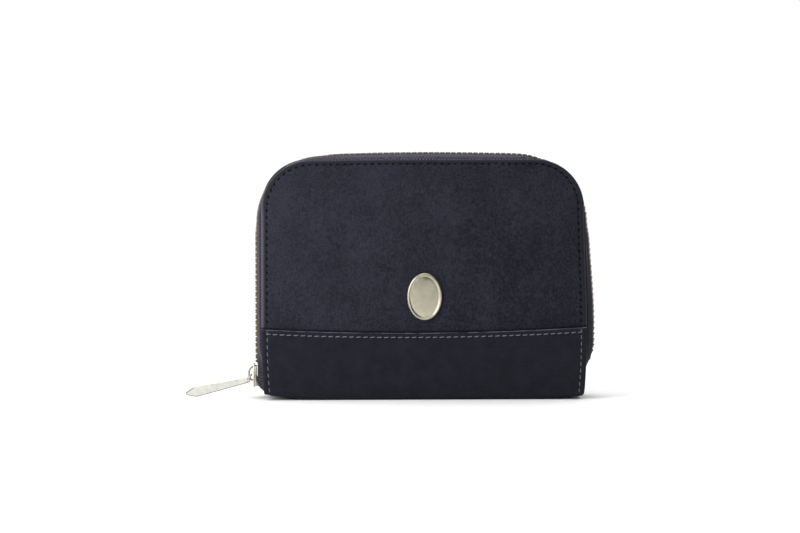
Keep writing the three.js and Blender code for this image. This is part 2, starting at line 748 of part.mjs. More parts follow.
addSuede('back_suede_panel', 1, false);
addSpineBand();
addStiffener('back_stiffener', 1, false);
addSpineLayers();
addLining('back_lining', 1);
addCardPockets('back', 1);
addTape('back_zip_tape', 1);
addTeeth('back_zip_teeth', 1);
addTopStop('back_top_stop', 1);
addBottomStop();
addGusset('left_gusset', -1);
addGusset('right_gusset', 1);

addCoinPocket();
addCoinZip();
addCoinSlider();
addCoinPull();

addSliderBody();
addSliderCrown();
addPullRing();
addPullTab();

export default wallet;
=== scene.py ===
"""Zip-around wallet: the visual model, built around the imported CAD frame.

Lengths are in millimetres until a mesh is made. The wallet stands on its spine, its front
cover faces -Y, and "distance" means distance from its middle plane.
"""

import json
import math

import bmesh
import bpy
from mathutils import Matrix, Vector, noise
from mathutils.geometry import delaunay_2d_cdt


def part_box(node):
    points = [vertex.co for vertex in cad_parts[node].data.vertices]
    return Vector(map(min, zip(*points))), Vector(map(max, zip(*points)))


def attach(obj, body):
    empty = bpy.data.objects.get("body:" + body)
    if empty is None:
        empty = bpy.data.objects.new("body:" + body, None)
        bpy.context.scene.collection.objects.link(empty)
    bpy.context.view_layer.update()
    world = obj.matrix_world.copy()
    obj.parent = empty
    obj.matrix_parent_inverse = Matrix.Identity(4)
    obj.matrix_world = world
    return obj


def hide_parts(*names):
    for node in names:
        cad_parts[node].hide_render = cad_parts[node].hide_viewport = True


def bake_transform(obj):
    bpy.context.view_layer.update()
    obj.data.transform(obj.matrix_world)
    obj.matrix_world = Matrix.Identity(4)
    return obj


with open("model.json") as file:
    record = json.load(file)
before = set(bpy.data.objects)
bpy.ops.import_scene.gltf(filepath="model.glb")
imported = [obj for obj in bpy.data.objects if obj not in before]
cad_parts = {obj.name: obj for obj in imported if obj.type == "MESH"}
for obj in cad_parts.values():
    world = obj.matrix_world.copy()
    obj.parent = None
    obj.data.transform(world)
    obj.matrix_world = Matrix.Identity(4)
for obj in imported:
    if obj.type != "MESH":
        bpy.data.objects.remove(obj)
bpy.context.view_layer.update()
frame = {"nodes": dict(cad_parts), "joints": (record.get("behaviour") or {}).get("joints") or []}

MM = 0.001
JOINT_AT = {joint["name"]: Vector(joint["pos_m"]) / MM for joint in frame["joints"] if "pos_m" in joint}


def span(node):
    """Lowest and highest corner of a CAD node, in millimetres."""
    low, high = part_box(node)
    return low / MM, high / MM


# ---- Driving dimensions, read from the frame where it has them ------------------------

SUEDE_SPAN = span("front_suede_panel")
BAND_SPAN = span("front_band")
TAPE_SPAN = span("front_zip_tape")
GUSSET_SPAN = span("right_gusset")
SLIDER_SPAN = span("slider_body")
CROWN_SPAN = span("slider_crown")
EMBLEM_SPAN = span("emblem_plate")

HALF_W = SUEDE_SPAN[1].x
TOP = SUEDE_SPAN[1].z
SUEDE_LOW = SUEDE_SPAN[0].z
BASE = -SUEDE_SPAN[1].y          # distance of the covers' glued face
FACE = -SUEDE_SPAN[0].y          # distance of the suede's outer face
BAND_FACE = -BAND_SPAN[0].y
BAND_SIDE_TOP = BAND_SPAN[1].z
BAND_MIDDLE_TOP = BAND_SIDE_TOP - 2.6
CORNER_R = 20.0
TAPER_TOP = 25.0
TAPER_IN = 1.2

STITCH_INSET = 1.7               # from a cover's top edge
SIDE_STITCH_INSET = 2.35         # from a cover's side edges
SEAM_INSET = 2.0                 # from the band's top edge
STITCH_PITCH = 2.89
STITCH_LONG = 2.05

SPINE_R = 3.0
SPINE_LEATHER = 0.9
LEFT_LIFT = (1.9, 43.0)          # the spine's left end stands this far off, from this far out
RIGHT_LIFT = (1.3, 50.0)
END_ROUND = 1.0

TAPE_THICK = 0.5
RIM_HALF_W = TAPE_SPAN[1].x - TAPE_THICK / 2
RIM_TOP = TAPE_SPAN[1].z - TAPE_THICK / 2
RIM_LOW = TAPE_SPAN[0].z
RIM_R = 26.5
RIM_END_Z = 24.5
RIM_END_R = 35.0
RIM_END_ANGLE = math.radians(25)
# The rim line from its left foot, up and over to its right end: (length, radius or none).
RIM_STRETCHES = [(RIM_TOP - RIM_R - RIM_LOW, None), (RIM_R * math.pi / 2, RIM_R),
                 (2 * (RIM_HALF_W - RIM_R), None), (RIM_R * math.pi / 2, RIM_R),
                 (RIM_TOP - RIM_R - RIM_END_Z, None), (RIM_END_R * RIM_END_ANGLE, RIM_END_R)]
RIM_LENGTH = sum(length for length, _ in RIM_STRETCHES)
TAPE_LINE = [(10.75, 6.0), (10.75, 2.0), (10.1, 0.8), (7.5, 0.25), (2.6, 0.0)]

TOOTH_PITCH = 2.36
TEETH_FROM_Z = 15.6
TEETH_PER_ROW = 121

EMBLEM_Z = (EMBLEM_SPAN[0].z + EMBLEM_SPAN[1].z) / 2
EMBLEM_HALF_W = EMBLEM_SPAN[1].x
EMBLEM_HALF_H = (EMBLEM_SPAN[1].z - EMBLEM_SPAN[0].z) / 2
EMBLEM_FACE = -EMBLEM_SPAN[0].y

LEAN_IN = 1.3                    # the soft right side leans in by this much at its top
ZIP_LEAN_IN = 2.6                # and the zip between its covers by this much
CORNER_SINK = 1.1                # the zip sinks between the covers at the right corner
BELLY_OUT = 1.6                  # the zip's right leg stands out of the covers by this much
CROWN_DROP = 0.7                 # the zip falls by this much towards the top corners
COVER_RISE = (0.3, 0.5)          # the covers' tops stand this much higher, less this on the left
TEETH_DIP = 0.7                  # the teeth dip between the tape's humps at the left corner
TUCK_IN = 2.4                    # the tape's left foot is drawn in by this much
TAIL_TUCK_IN = 3.2               # and its very end by this much
ZIP_HALF = 11                    # the zip lies within this distance, the covers outside it
TEETH_HALF = 3.6                 # and its teeth and bead cords within this one


# ---- Small maths ----------------------------------------------------------------------


def smooth(t):
    t = min(max(t, 0.0), 1.0)
    return t * t * (3 - 2 * t)


def ramp(value, start, run):
    """A smooth rise from 0 to 1 that begins at a value and takes that long."""
    return smooth((value - start) / run)


def edge_roll(inset, radius, depth):
    """How far a turned edge falls away, at a distance in from it."""
    if inset >= radius:
        return 0.0
    return depth * (1 - math.sqrt(max(0.0, 1 - (1 - inset / radius) ** 2)))


def groove(inset, middle, half, depth):
    """The hollow that a row of stitches pulls into a soft face."""
    off = abs(inset - middle)
    return depth * 0.5 * (1 + math.cos(math.pi * off / half)) if off < half else 0.0


def drift(x, z, scale, seed):
    """Slow, repeatable unevenness between about -1 and 1."""
    return noise.noise(Vector((x * scale, z * scale, seed)))


def through(points, steps):
    """A smooth line through the points, as a Catmull-Rom curve."""
    points = [Vector(p) for p in points]
    line = []
    for i in range(len(points) - 1):
        a = points[max(i - 1, 0)]
        b, c = points[i], points[i + 1]
        d = points[min(i + 2, len(points) - 1)]
        for k in range(steps):
            t = k / steps
            line.append(0.5 * (2 * b + (c - a) * t + (2 * a - 5 * b + 4 * c - d) * t * t
                               + (3 * b - a - 3 * c + d) * t ** 3))
    return line + [points[-1]]


def settle(point):
    """The slack of the soft outer shell: its right side leans in, its top is crowned, and
    the zip tape tucks in beside the slider."""
    x, y, z = point
    distance = abs(y)
    between = smooth((ZIP_HALF - distance) / 2)
    lean = (LEAN_IN + (ZIP_LEAN_IN - LEAN_IN) * between) * ramp(z, 30, 50) * smooth(x / 60)
    sink = CORNER_SINK * between * ramp(x, 38, 18) * ramp(z, 66, 10)
    dip = TEETH_DIP * smooth((TEETH_HALF - distance) / 1.2) * ramp(-x, 36, 8) * ramp(z, 68, 8)
    fall = CROWN_DROP if x > 0 else CROWN_DROP * 1.5
    rise = COVER_RISE[0] - COVER_RISE[1] * ramp(-x, 10, 50)
    drop = fall * min(1.0, (x / 45) ** 2) * between - rise * (1 - between)
    belly = BELLY_OUT * smooth((ZIP_HALF - 0.1 - distance) / 4) * smooth(x / 60) * ramp(z, 8, 14)
    x += belly + tuck(x, distance, z) - lean - sink * 0.6 + dip * 0.7
    return (x, y, z - drop * ramp(z, 50, 45) - sink - dip * 0.7)


def tuck(x, distance, z):
    """How far the left foot of the tape is drawn in between its teeth and the cover."""
    inset = x + RIM_HALF_W
    if inset > 6 or distance > ZIP_HALF:
        return 0.0
    wall = TUCK_IN * smooth((23 - z) / 12) * ramp(distance, TEETH_HALF, 2.2)
    tail = TAIL_TUCK_IN * smooth((6 - z) / 3.6)
    return max(wall, tail) * (1 - ramp(inset, 1.5, 4.5))


# ---- Making meshes --------------------------------------------------------------------


class Build:
    """The points and faces of one piece. A point is (x, y, z), and after that whatever its
    finish reads from "weave", such as its place in the cloth."""

    def __init__(self):
        self.points = []
        self.weave = []
        self.faces = []

    def add(self, points, faces):
        start = len(self.points)
        for x, y, z, *weave in points:
            self.points.append((x, y, z))
            self.weave.append((*weave, 0.0, 0.0, 0.0)[:3])
        self.faces += [tuple(start + i for i in face) for face in faces]
        return self

    def rings(self, rings, ends="capped"):
        """Joins rings of equally many points. The two ends are capped, open or joined."""
        count = len(rings[0])
        last = len(rings) - 1
        faces = []
        for r in range(last + 1 if ends == "joined" else last):
            after = (r + 1) % len(rings)
            for i in range(count):
                j = (i + 1) % count
                faces.append((r * count + i, r * count + j, after * count + j, after * count + i))
        if ends == "capped":
            faces += [tuple(range(count)), tuple(last * count + i for i in range(count))]
        return self.add([p for ring in rings for p in ring], faces)

    def piece(self, name, finish, body=None, stands_for=(), sharp=50, settled=False):
        points = [settle(p) for p in self.points] if settled else self.points
        mesh = bpy.data.meshes.new(name)
        mesh.from_pydata([Vector(p) * MM for p in points], [], self.faces)
        tag_points(mesh, "rest", points)
        tag_points(mesh, "weave", self.weave)
        face_outward(mesh)
        mesh.shade_smooth()
        mesh.set_sharp_from_angle(angle=math.radians(sharp))
        material, slot = FINISHES[finish]
        mesh.materials.append(material)
        piece = add_object(name, mesh)
        if body:
            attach(piece, body)
        if stands_for:
            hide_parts(*stands_for)
        return piece


def add_object(name, data):
    thing = bpy.data.objects.new(name, data)
    bpy.context.scene.collection.objects.link(thing)
    return thing


def line_normal(line, i):
    """The direction square to a flat line at one of its points."""
    step = line[min(i + 1, len(line) - 1)] - line[max(i - 1, 0)]
    return Vector((-step.y, step.x)).normalized()


def spread(low, high, count):
    """Evenly spaced values, both ends among them, with that many steps between them."""
    return [low + (high - low) * i / count for i in range(count + 1)]


def tag_points(mesh, name, values):
    attribute = mesh.attributes.new(name, "FLOAT_VECTOR", "POINT")
    attribute.data.foreach_set("vector", [number for value in values for number in value])


def face_outward(mesh):
    bm = bmesh.new()
    bm.from_mesh(mesh)
    bmesh.ops.recalc_face_normals(bm, faces=bm.faces)
    bm.to_mesh(mesh)
    bm.free()


def inset_loop(loop, inset):
    """A closed outline, counterclockwise, drawn in by a distance with mitred corners."""
    if inset == 0:
        return [Vector(p) for p in loop]
    drawn = []
    for i, point in enumerate(loop):
        here = Vector(point)
        before = (here - Vector(loop[i - 1])).normalized()
        after = (Vector(loop[(i + 1) % len(loop)]) - here).normalized()
        normals = [Vector((-d.y, d.x)) for d in (before, after)]
        mitre = (normals[0] + normals[1]).normalized()
        drawn.append(here + mitre * inset / max(mitre.dot(normals[0]), 0.4))
    return drawn


def slab(build, loop, low, high, ease, place, face=()):
    """A plate with that outline and eased edges. place(a, b, h) puts its points, and face
    adds rings of (inset, height) on its high side."""
    part = ease * 0.3
    profile = [(ease, low), (part, low + part), (0, low + ease),
               (0, high - ease), (part, high - part), (ease, high), *face]
    return build.rings([[(*place(p.x, p.y, height), p.x, p.y) for p in inset_loop(loop, inset)]
                        for inset, height in profile])


def ring_slab(build, outer, hole, half, chamfer, place, shade=lambda point: 1.0):
    """A plate with one hole. Both outlines have equally many points, side by side. shade
    gives how much painted shade its edge takes at a point of the outline."""
    side, depth = chamfer
    lip, fine = 0.08, 0.06
    wider = [h + (o - h).normalized() * lip for h, o in zip(hole, outer)]
    insets = (side + 2 * fine, side + fine, side, fine)
    inner, flat, face, trimmed = (inset_loop(outer, inset) for inset in insets)
    upper = [(hole, half - lip, 0), (wider, half, 0), (inner, half, 0), (flat, half, 0),
             (face, half - 0.01, 1), (trimmed, half - depth, 1), (outer, half - depth - fine, 1)]
    rings = upper + [(loop, -height, painted_edge_shade) for loop, height, painted_edge_shade in reversed(upper)]
    return build.rings([[(*place(p.x, p.y, height), 0, 0, painted_edge_shade * shade(edge)) for p, edge in zip(loop, outer)]
                        for loop, height, painted_edge_shade in rings], ends="joined")


def sweep(build, path, section, binormal, closed=False):
    """Carries a section, drawn as (along the normal, along the binormal), down a flat path."""
    binormal = Vector(binormal).normalized()
    path = [Vector(p) for p in path]
    rings = []
    for i, point in enumerate(path):
        before = path[i - 1] if i or closed else path[0]
        after = path[(i + 1) % len(path)] if i < len(path) - 1 or closed else path[-1]
        normal = binormal.cross((after - before).normalized())
        rings.append([point + normal * n + binormal * b for n, b in section])
    return build.rings(rings, ends="joined" if closed else "capped")


def oval(half_a, half_b, count, centre=(0, 0)):
    turns = [2 * math.pi * i / count for i in range(count)]
    return [Vector((centre[0] + half_a * math.cos(t), centre[1] + half_b * math.sin(t))) for t in turns]


def rounded_box(half_a, half_b, radius, steps=3):
    """A rectangle with rounded corners, counterclockwise."""
    loop = []
    for k, (sign_a, sign_b) in enumerate([(1, 1), (-1, 1), (-1, -1), (1, -1)]):
        for i in range(steps + 1):
            turn = math.pi / 2 * (k + i / steps)
            loop.append(Vector((sign_a * (half_a - radius) + radius * math.cos(turn),
                                sign_b * (half_b - radius) + radius * math.sin(turn))))
    return loop


def block(build, x, y, z, ease):
    """A box between two values on each axis, with eased edges."""
    loop = [Vector((x[0], z[0])), Vector((x[1], z[0])), Vector((x[1], z[1])), Vector((x[0], z[1]))]
    slab(build, loop, y[0], y[1], ease, lambda a, b, h: (a, h, b))


# ---- Materials ------------------------------------------------------------------------


class Shader:
    """A material made of nodes, with short ways to say the steps that repeat."""

    MIX_COLORS = (6, 7)              # the Mix node's two color sockets

    def __init__(self, name):
        self.material = bpy.data.materials.new(name)
        self.material.use_nodes = True
        self.tree = self.material.node_tree
        self.surface = self.tree.nodes["Principled BSDF"]

    def set(self, **sockets):
        for name, value in sockets.items():
            self.surface.inputs[name.replace("_", " ")].default_value = value

    def node(self, kind, settings=(), **sockets):
        node = self.tree.nodes.new("ShaderNode" + kind)
        for name, value in dict(settings).items():
            setattr(node, name, value)
        for name, value in sockets.items():
            self.feed(node.inputs[name.replace("_", " ")], value)
        return node

    def feed(self, socket, value):
        if isinstance(value, bpy.types.NodeSocket):
            self.tree.links.new(value, socket)
        else:
            socket.default_value = value

    def math(self, operation, *values):
        node = self.node("Math", {"operation": operation})
        for socket, value in zip(node.inputs, values):
            self.feed(socket, value)
        return node.outputs[0]

    def sum(self, *terms):
        """The sum of (value, weight) terms."""
        total = 0.0
        for value, weight in terms:
            total = self.math("MULTIPLY_ADD", value, weight, total)
        return total

    def sine(self, value, period=1.0):
        return self.math("SINE", self.math("MULTIPLY", value, 2 * math.pi / period))

    def attribute(self, name):
        return self.node("Attribute", {"attribute_name": name}).outputs["Vector"]

    def parts(self, name):
        """The three numbers of a point attribute."""
        return list(self.node("SeparateXYZ", Vector=self.attribute(name)).outputs)

    def stretched(self, vector, scale):
        mapping = self.node("Mapping", Vector=vector)
        mapping.inputs["Scale"].default_value = scale
        return mapping.outputs[0]

    def noise(self, vector, scale, detail=3.0, roughness=0.55):
        node = self.node("TexNoise", Vector=vector, Scale=scale, Detail=detail, Roughness=roughness)
        return node.outputs["Fac"]

    def cells(self, vector, scale, feature="F1"):
        node = self.node("TexVoronoi", {"feature": feature}, Vector=vector, Scale=scale)
        return node.outputs["Distance"]

    def between(self, value, low, high, to_low=0.0, to_high=1.0):
        node = self.node("MapRange", {"interpolation_type": "SMOOTHSTEP"})
        for socket, number in zip(node.inputs, (value, low, high, to_low, to_high)):
            self.feed(socket, number)
        return node.outputs[0]

    def mix(self, share, first, second):
        node = self.node("Mix", {"data_type": "RGBA"}, Factor=share)
        for place, color in zip(self.MIX_COLORS, (first, second)):
            self.feed(node.inputs[place], color)
        return node.outputs[2]

    def color(self, socket):
        self.feed(self.surface.inputs["Base Color"], socket)

    def rough(self, socket):
        self.feed(self.surface.inputs["Roughness"], socket)

    def bumps(self, *layers):
        """Layers of (height, strength, depth in millimetres), one over the other."""
        normal = None
        for height, strength, depth in layers:
            node = self.node("Bump", Height=height, Strength=strength, Distance=depth * MM)
            if normal is not None:
                self.feed(node.inputs["Normal"], normal)
            normal = node.outputs["Normal"]
        self.feed(self.surface.inputs["Normal"], normal)
        return self.material


def rgb(red, green, blue):
    return (red, green, blue, 1.0)


def suede_material():
    """Brushed suede: clouds of nap, fine fibres, and painted light: a lighter left side, a painted highlight
    on the turned edge and a painted shadow above the band.
    """
    s = Shader("suede")
    s.set(Roughness=0.95, Specular_IOR_Level=0.15, Sheen_Weight=0.15, Sheen_Roughness=0.45)
    s.set(Sheen_Tint=rgb(0.62, 0.64, 0.78))
    rest = s.attribute("rest")
    x, _, z = s.parts("rest")
    inset, over_band, _ = s.parts("weave")
    stroke = s.noise(s.stretched(rest, (1.0, 1.0, 0.6)), 0.07, 4, 0.6)
    cloud = s.noise(rest, 0.3, 5, 0.7)
    nap = s.noise(s.stretched(rest, (1.0, 1.0, 0.8)), 1.25, 4, 0.75)
    fibre = s.noise(rest, 2.6, 2, 0.7)
    # The x term paints light into the nap's tone: the face grows lighter towards the lit left side.
    light = s.sum((stroke, 0.5), (cloud, 0.3), (nap, 1.4), (fibre, 0.8), (x, -0.0012))
    napped = s.mix(s.between(light, 1.15, 1.9), rgb(0.006, 0.0062, 0.01), rgb(0.03, 0.031, 0.046))
    edged = s.mix(s.between(inset, 1.3, 1.7, 0.6, 0.0), napped, rgb(0.015, 0.017, 0.022))
    # Painted highlight along the turned edge: strongest and widest on the left below the corner, fainter
    # elsewhere.
    off_left_edge = s.math("MAXIMUM", s.between(x, -64, -50), s.between(z, 74, 90))
    painted_highlight = s.mix(off_left_edge, rgb(0.094, 0.099, 0.117), rgb(0.045, 0.046, 0.057))
    reach = s.math("MULTIPLY_ADD", off_left_edge, -0.5, 1.1)
    highlighted = s.mix(s.between(inset, 0.1, reach, 0.8, 0.0), edged, painted_highlight)
    # Painted shadow: a dark line on the suede just above the band's top edge.
    s.color(s.mix(s.between(over_band, 0.3, 1.3, 0.75, 0.0), highlighted, rgb(0.004, 0.004, 0.006)))
    return s.bumps((fibre, 0.6, 0.12), (nap, 0.55, 0.3), (cloud, 0.3, 0.5))


def leather_material(name, dark, light, rough):
    """Smooth leather with fine pores and creases, and a painted highlight where its piece marks one."""
    s = Shader(name)
    s.set(Specular_IOR_Level=0.12)
    rest = s.attribute("rest")
    highlight_share = s.parts("weave")[2]
    grain = s.cells(rest, 1.9, "SMOOTH_F1")
    pores = s.cells(rest, 4.2)
    cloud = s.noise(rest, 0.16, 4, 0.6)
    crease = s.noise(s.stretched(rest, (0.6, 1.0, 1.4)), 0.9, 5, 0.7)
    highlight_breaks = s.noise(s.stretched(rest, (0.25, 1.0, 1.0)), 1.0, 4, 0.7)
    share = s.between(s.sum((cloud, 0.75), (crease, 0.35)), 0.3, 0.8)
    # Painted highlight along the band's top edge, broken into dashes by noise.
    painted_highlight = s.math("MULTIPLY", highlight_share, s.between(highlight_breaks, 0.35, 0.6))
    s.color(s.mix(painted_highlight, s.mix(share, dark, light), rgb(0.15, 0.15, 0.17)))
    s.rough(s.between(s.sum((cloud, 1.0), (grain, 0.3)), 0.3, 0.9, rough - 0.07, rough + 0.1))
    return s.bumps((grain, 0.32, 0.09), (pores, 0.18, 0.05), (crease, 0.25, 0.12))


def twill(s, along, across, long, wide):
    """The height of a slanting rib, which comes again every so many millimetres each way."""
    slope = s.sum((along, 1 / long), (across, 1 / wide))
    return s.math("MULTIPLY_ADD", s.sine(slope), 0.5, 0.5)


def lining_material():
    s = Shader("lining")
    s.set(Roughness=0.8, Specular_IOR_Level=0.25, Sheen_Weight=0.15, Sheen_Roughness=0.4)
    along, across, _ = s.parts("weave")
    rib = twill(s, along, across, 0.7, 0.7)
    yarn = s.noise(s.stretched(s.attribute("weave"), (5.0, 1.2, 1.0)), 1.0, 2)
    s.color(s.mix(s.sum((rib, 0.6), (yarn, 0.45)), rgb(0.017, 0.02, 0.036), rgb(0.052, 0.058, 0.092)))
    return s.bumps((rib, 0.5, 0.1), (yarn, 0.3, 0.08))


def tape_material():
    """Zip tape: a dotted weave with herringbone ribs, with painted light: lighter along the
    top, and painted shade darkening it on the right."""
    s = Shader("zip_tape")
    s.set(Roughness=0.85, Specular_IOR_Level=0.2, Sheen_Weight=0.15, Sheen_Roughness=0.4)
    s.set(Sheen_Tint=rgb(0.8, 0.78, 0.9))
    along, across, _ = s.parts("weave")
    x, _, z = s.parts("rest")
    rib = twill(s, along, s.math("PINGPONG", across, 1.3), 1.1, 1.3)
    column = s.sine(across, 0.65)
    dots = s.math("MULTIPLY", s.sine(along, 1.3), s.sine(across, 1.3))
    fleck = s.noise(s.stretched(s.attribute("weave"), (1.3, 1.9, 1.0)), 1.0, 3, 0.8)
    share = s.between(s.sum((rib, 0.2), (dots, 0.32), (fleck, 1.4)), 0.52, 1.14)
    # Painted light: the yarn is lighter on the tape's outer wall along the top.
    top_painted_light = s.math("MULTIPLY", s.between(across, 4.4, 6.0, 1.0, 0.0), s.between(z, 88, 97))
    top_lit_yarn = s.mix(top_painted_light, rgb(0.052, 0.049, 0.069), rgb(0.13, 0.121, 0.162))
    # Painted shade: the yarn darkens towards the right side.
    yarn = s.mix(s.between(x, 52, 68), top_lit_yarn, rgb(0.015, 0.0145, 0.02))
    s.color(s.mix(share, rgb(0.004, 0.004, 0.007), yarn))
    return s.bumps((rib, 0.7, 0.2), (column, 0.3, 0.06), (fleck, 0.5, 0.2))


def metal_material(name, dark, light, rough, edge):
    """Polished plate with faint hairlines and dulled patches. Where its piece marks them, its edges take a
    painted shade.
    """
    s = Shader(name)
    s.set(Metallic=1.0)
    rest = s.attribute("rest")
    painted_edge_shade = s.parts("weave")[2]
    patch = s.noise(rest, 0.5, 3)
    hair = s.noise(s.stretched(rest, (9.0, 9.0, 0.7)), 1.0, 3, 0.7)
    # Painted shade: marked edges turn towards the dark edge colour.
    s.color(s.mix(painted_edge_shade, s.mix(s.between(patch, 0.3, 0.7), dark, light), edge))
    s.rough(s.between(s.sum((patch, 1.0), (hair, 0.5)), 0.45, 1.05, rough, rough + 0.16))
    return s.bumps((hair, 0.1, 0.03), (patch, 0.12, 0.15))


def thread_material(name, dark, light, gloss):
    """Twisted thread: its strands cross the stitch at a slant."""
    s = Shader(name)
    s.set(Roughness=0.6, Specular_IOR_Level=gloss)
    along, turn, _ = s.parts("weave")
    strand = twill(s, along, turn, 0.42, 1.0)
    s.color(s.mix(strand, dark, light))
    return s.bumps((strand, 0.6, 0.08))


def nylon_material():
    s = Shader("nylon")
    s.set(Specular_IOR_Level=0.5)
    ripple = s.noise(s.attribute("rest"), 2.0, 2)
    s.color(s.mix(ripple, rgb(0.02, 0.021, 0.034), rgb(0.045, 0.047, 0.07)))
    s.rough(s.between(ripple, 0.3, 0.7, 0.3, 0.45))
    return s.bumps((ripple, 0.2, 0.05))


def board_material():
    """Bonded leather board, on CAD nodes that keep their own shape."""
    s = Shader("board")
    s.set(Roughness=0.9, Specular_IOR_Level=0.2)
    place = s.node("TexCoord").outputs["Object"]
    fibre = s.noise(s.stretched(place, (1.0, 1.0, 0.5)), 900.0, 4, 0.7)
    s.color(s.mix(fibre, rgb(0.14, 0.115, 0.09), rgb(0.3, 0.26, 0.21)))
    return s.bumps((fibre, 0.5, 0.1))


# Finish: (material, the record's slot it belongs to).
FINISHES = {
    "suede": (suede_material(), "suede"),
    "leather": (leather_material("leather", rgb(0.007, 0.0072, 0.0125), rgb(0.0135, 0.0138, 0.022),
                                 rough=0.44), "leather"),
    "pocket_leather": (leather_material("pocket_leather", rgb(0.015, 0.016, 0.027), rgb(0.028, 0.03, 0.046),
                                        rough=0.5), "pocket_leather"),
    "lining": (lining_material(), "lining"),
    "zip_tape": (tape_material(), "zip_tape"),
    "brass": (metal_material("brass", rgb(0.12, 0.092, 0.05), rgb(0.35, 0.27, 0.155),
                             rough=0.28, edge=rgb(0.1, 0.07, 0.03)), "brass"),
    "pale_gold": (metal_material("pale_gold", rgb(0.65, 0.64, 0.58), rgb(0.7, 0.695, 0.65),
                                 rough=0.14, edge=rgb(0.07, 0.06, 0.035)), "pale_gold"),
    "satin_gold": (metal_material("satin_gold", rgb(0.46, 0.43, 0.33), rgb(0.53, 0.5, 0.4),
                                  rough=0.3, edge=rgb(0.2, 0.17, 0.1)), "pale_gold"),
    "nylon": (nylon_material(), "nylon"),
    # A near-black copy of the thread, for the stitches sunk in the suede: painted shade.
    "shade_painted_thread": (thread_material("shade_painted_thread", rgb(0.0005, 0.0005, 0.001), rgb(0.002, 0.002, 0.004),
                                    gloss=0.03), "nylon"),
    "light_thread": (thread_material("light_thread", rgb(0.07, 0.07, 0.09), rgb(0.26, 0.26, 0.31),
                                     gloss=0.3), "nylon"),
    "board": (board_material(), "board"),
}


# ---- The covers' surfaces -------------------------------------------------------------


def taper(z):
    below = max(0.0, TAPER_TOP - z) / TAPER_TOP
    return TAPER_IN * below * below


def band_top(x):
    """The band's top edge sags in the middle and is a little lower on the left."""
    t = x / HALF_W
    return BAND_MIDDLE_TOP + 1.9 * t * t + 0.3 * t


def inset_at(x, z):
    """How far a point of a cover lies inside its outline."""
    aside = HALF_W - taper(z) - abs(x)
    under = TOP - z
    if aside < CORNER_R and under < CORNER_R:
        return CORNER_R - math.hypot(CORNER_R - aside, CORNER_R - under)
    return min(aside, under)


def outline(inset, low, step):
    """A cover's outline, drawn in, from its foot on the left over the top to the right."""
    radius = CORNER_R - inset
    shoulder = TOP - CORNER_R
    half_top = HALF_W - CORNER_R
    heights = spread(low, shoulder, round((shoulder - low) / step))[:-1]
    turns = spread(math.pi, math.pi / 2, round(CORNER_R * math.pi / 2 / step))[:-1]
    left = [(inset - HALF_W + taper(z), z) for z in heights]
    left += [(radius * math.cos(turn) - half_top, shoulder + radius * math.sin(turn)) for turn in turns]
    left += [(x, TOP - inset) for x in spread(-half_top, 0, round(half_top / step))[:-1]]
    return left + [(0.0, TOP - inset)] + [(-x, z) for x, z in reversed(left)]


def suede_distance(x, z, side):
    """Distance of the suede's outer face: turned edge, stitch line, soft swell."""
    inset = inset_at(x, z)
    over_band = z - band_top(x)
    swell = 0.5 * ramp(inset, 2, 18) + 0.16 * drift(x, z, 0.035, side) + 0.05 * drift(x, z, 0.16, 3 + side)
    swell *= ramp(over_band, 0.3, 5) * ramp(inset, 1.9, 2.5)
    if side < 0:
        round_emblem = math.hypot(x / EMBLEM_HALF_W, (z - EMBLEM_Z) / EMBLEM_HALF_H)
        swell = swell * ramp(round_emblem, 1, 0.8) - 0.06 * smooth(1.35 - round_emblem)
    sink = edge_roll(inset, 1.1, 0.62) + groove(inset, STITCH_INSET, 0.6, 0.25)
    sink += 0.35 * smooth(1 - over_band / 1.6)
    return FACE - 0.03 - sink + swell


def draw_sides(x, y, z):
    """Moves a cover's surface in from its sides, so that the stitches sit further in there."""
    further = (SIDE_STITCH_INSET - STITCH_INSET) / (HALF_W - STITCH_INSET)
    return (x * (1 - further * smooth(inset_at(x, z) / 1.5)), y, z)


def suede_point(x, y, z):
    """A point of the suede, with its distances from the outline and the band, which its finish reads for its
    rim tone, its painted highlight and its painted shadow.
    """
    return (*draw_sides(x, y, z), inset_at(x, z), z - band_top(x))


def fill_inside(ring, low, step):
    """Extra points and triangles that fill the inside of an open ring above its foot line."""
    half = -ring[0][0]
    count = round(2 * half / step)
    foot = [(half - 2 * half * i / count, low) for i in range(1, count)]
    border = inset_at(*ring[len(ring) // 2])
    inner = []
    rise = step * math.sqrt(3) / 2
    for row in range(1, int((TOP - low) / rise)):
        z = low + row * rise
        shift = step / 2 * (row % 2)
        for i in range(-count, count + 1):
            x = i * step + shift
            if inset_at(x, z) > border + step * 0.6:
                inner.append((x, z))
    points = [Vector(p) for p in list(ring) + foot + inner]
    rim = len(ring) + len(foot)
    edges = [(i, (i + 1) % rim) for i in range(rim)]
    placed, _, triangles, _, _, _ = delaunay_2d_cdt(points, edges, [], 1, 1e-5)
    assert len(placed) == len(points)
    return foot, inner, triangles


# Insets of the suede's rings, close together at its turned edge and its stitch line.
SUEDE_RINGS = [0, 0.12, 0.3, 0.55, 0.85, 1.15, 1.35, 1.5, 1.6, 1.7, 1.8, 1.9, 2.05, 2.3, 2.8, 3.6, 4.8, 6.2]


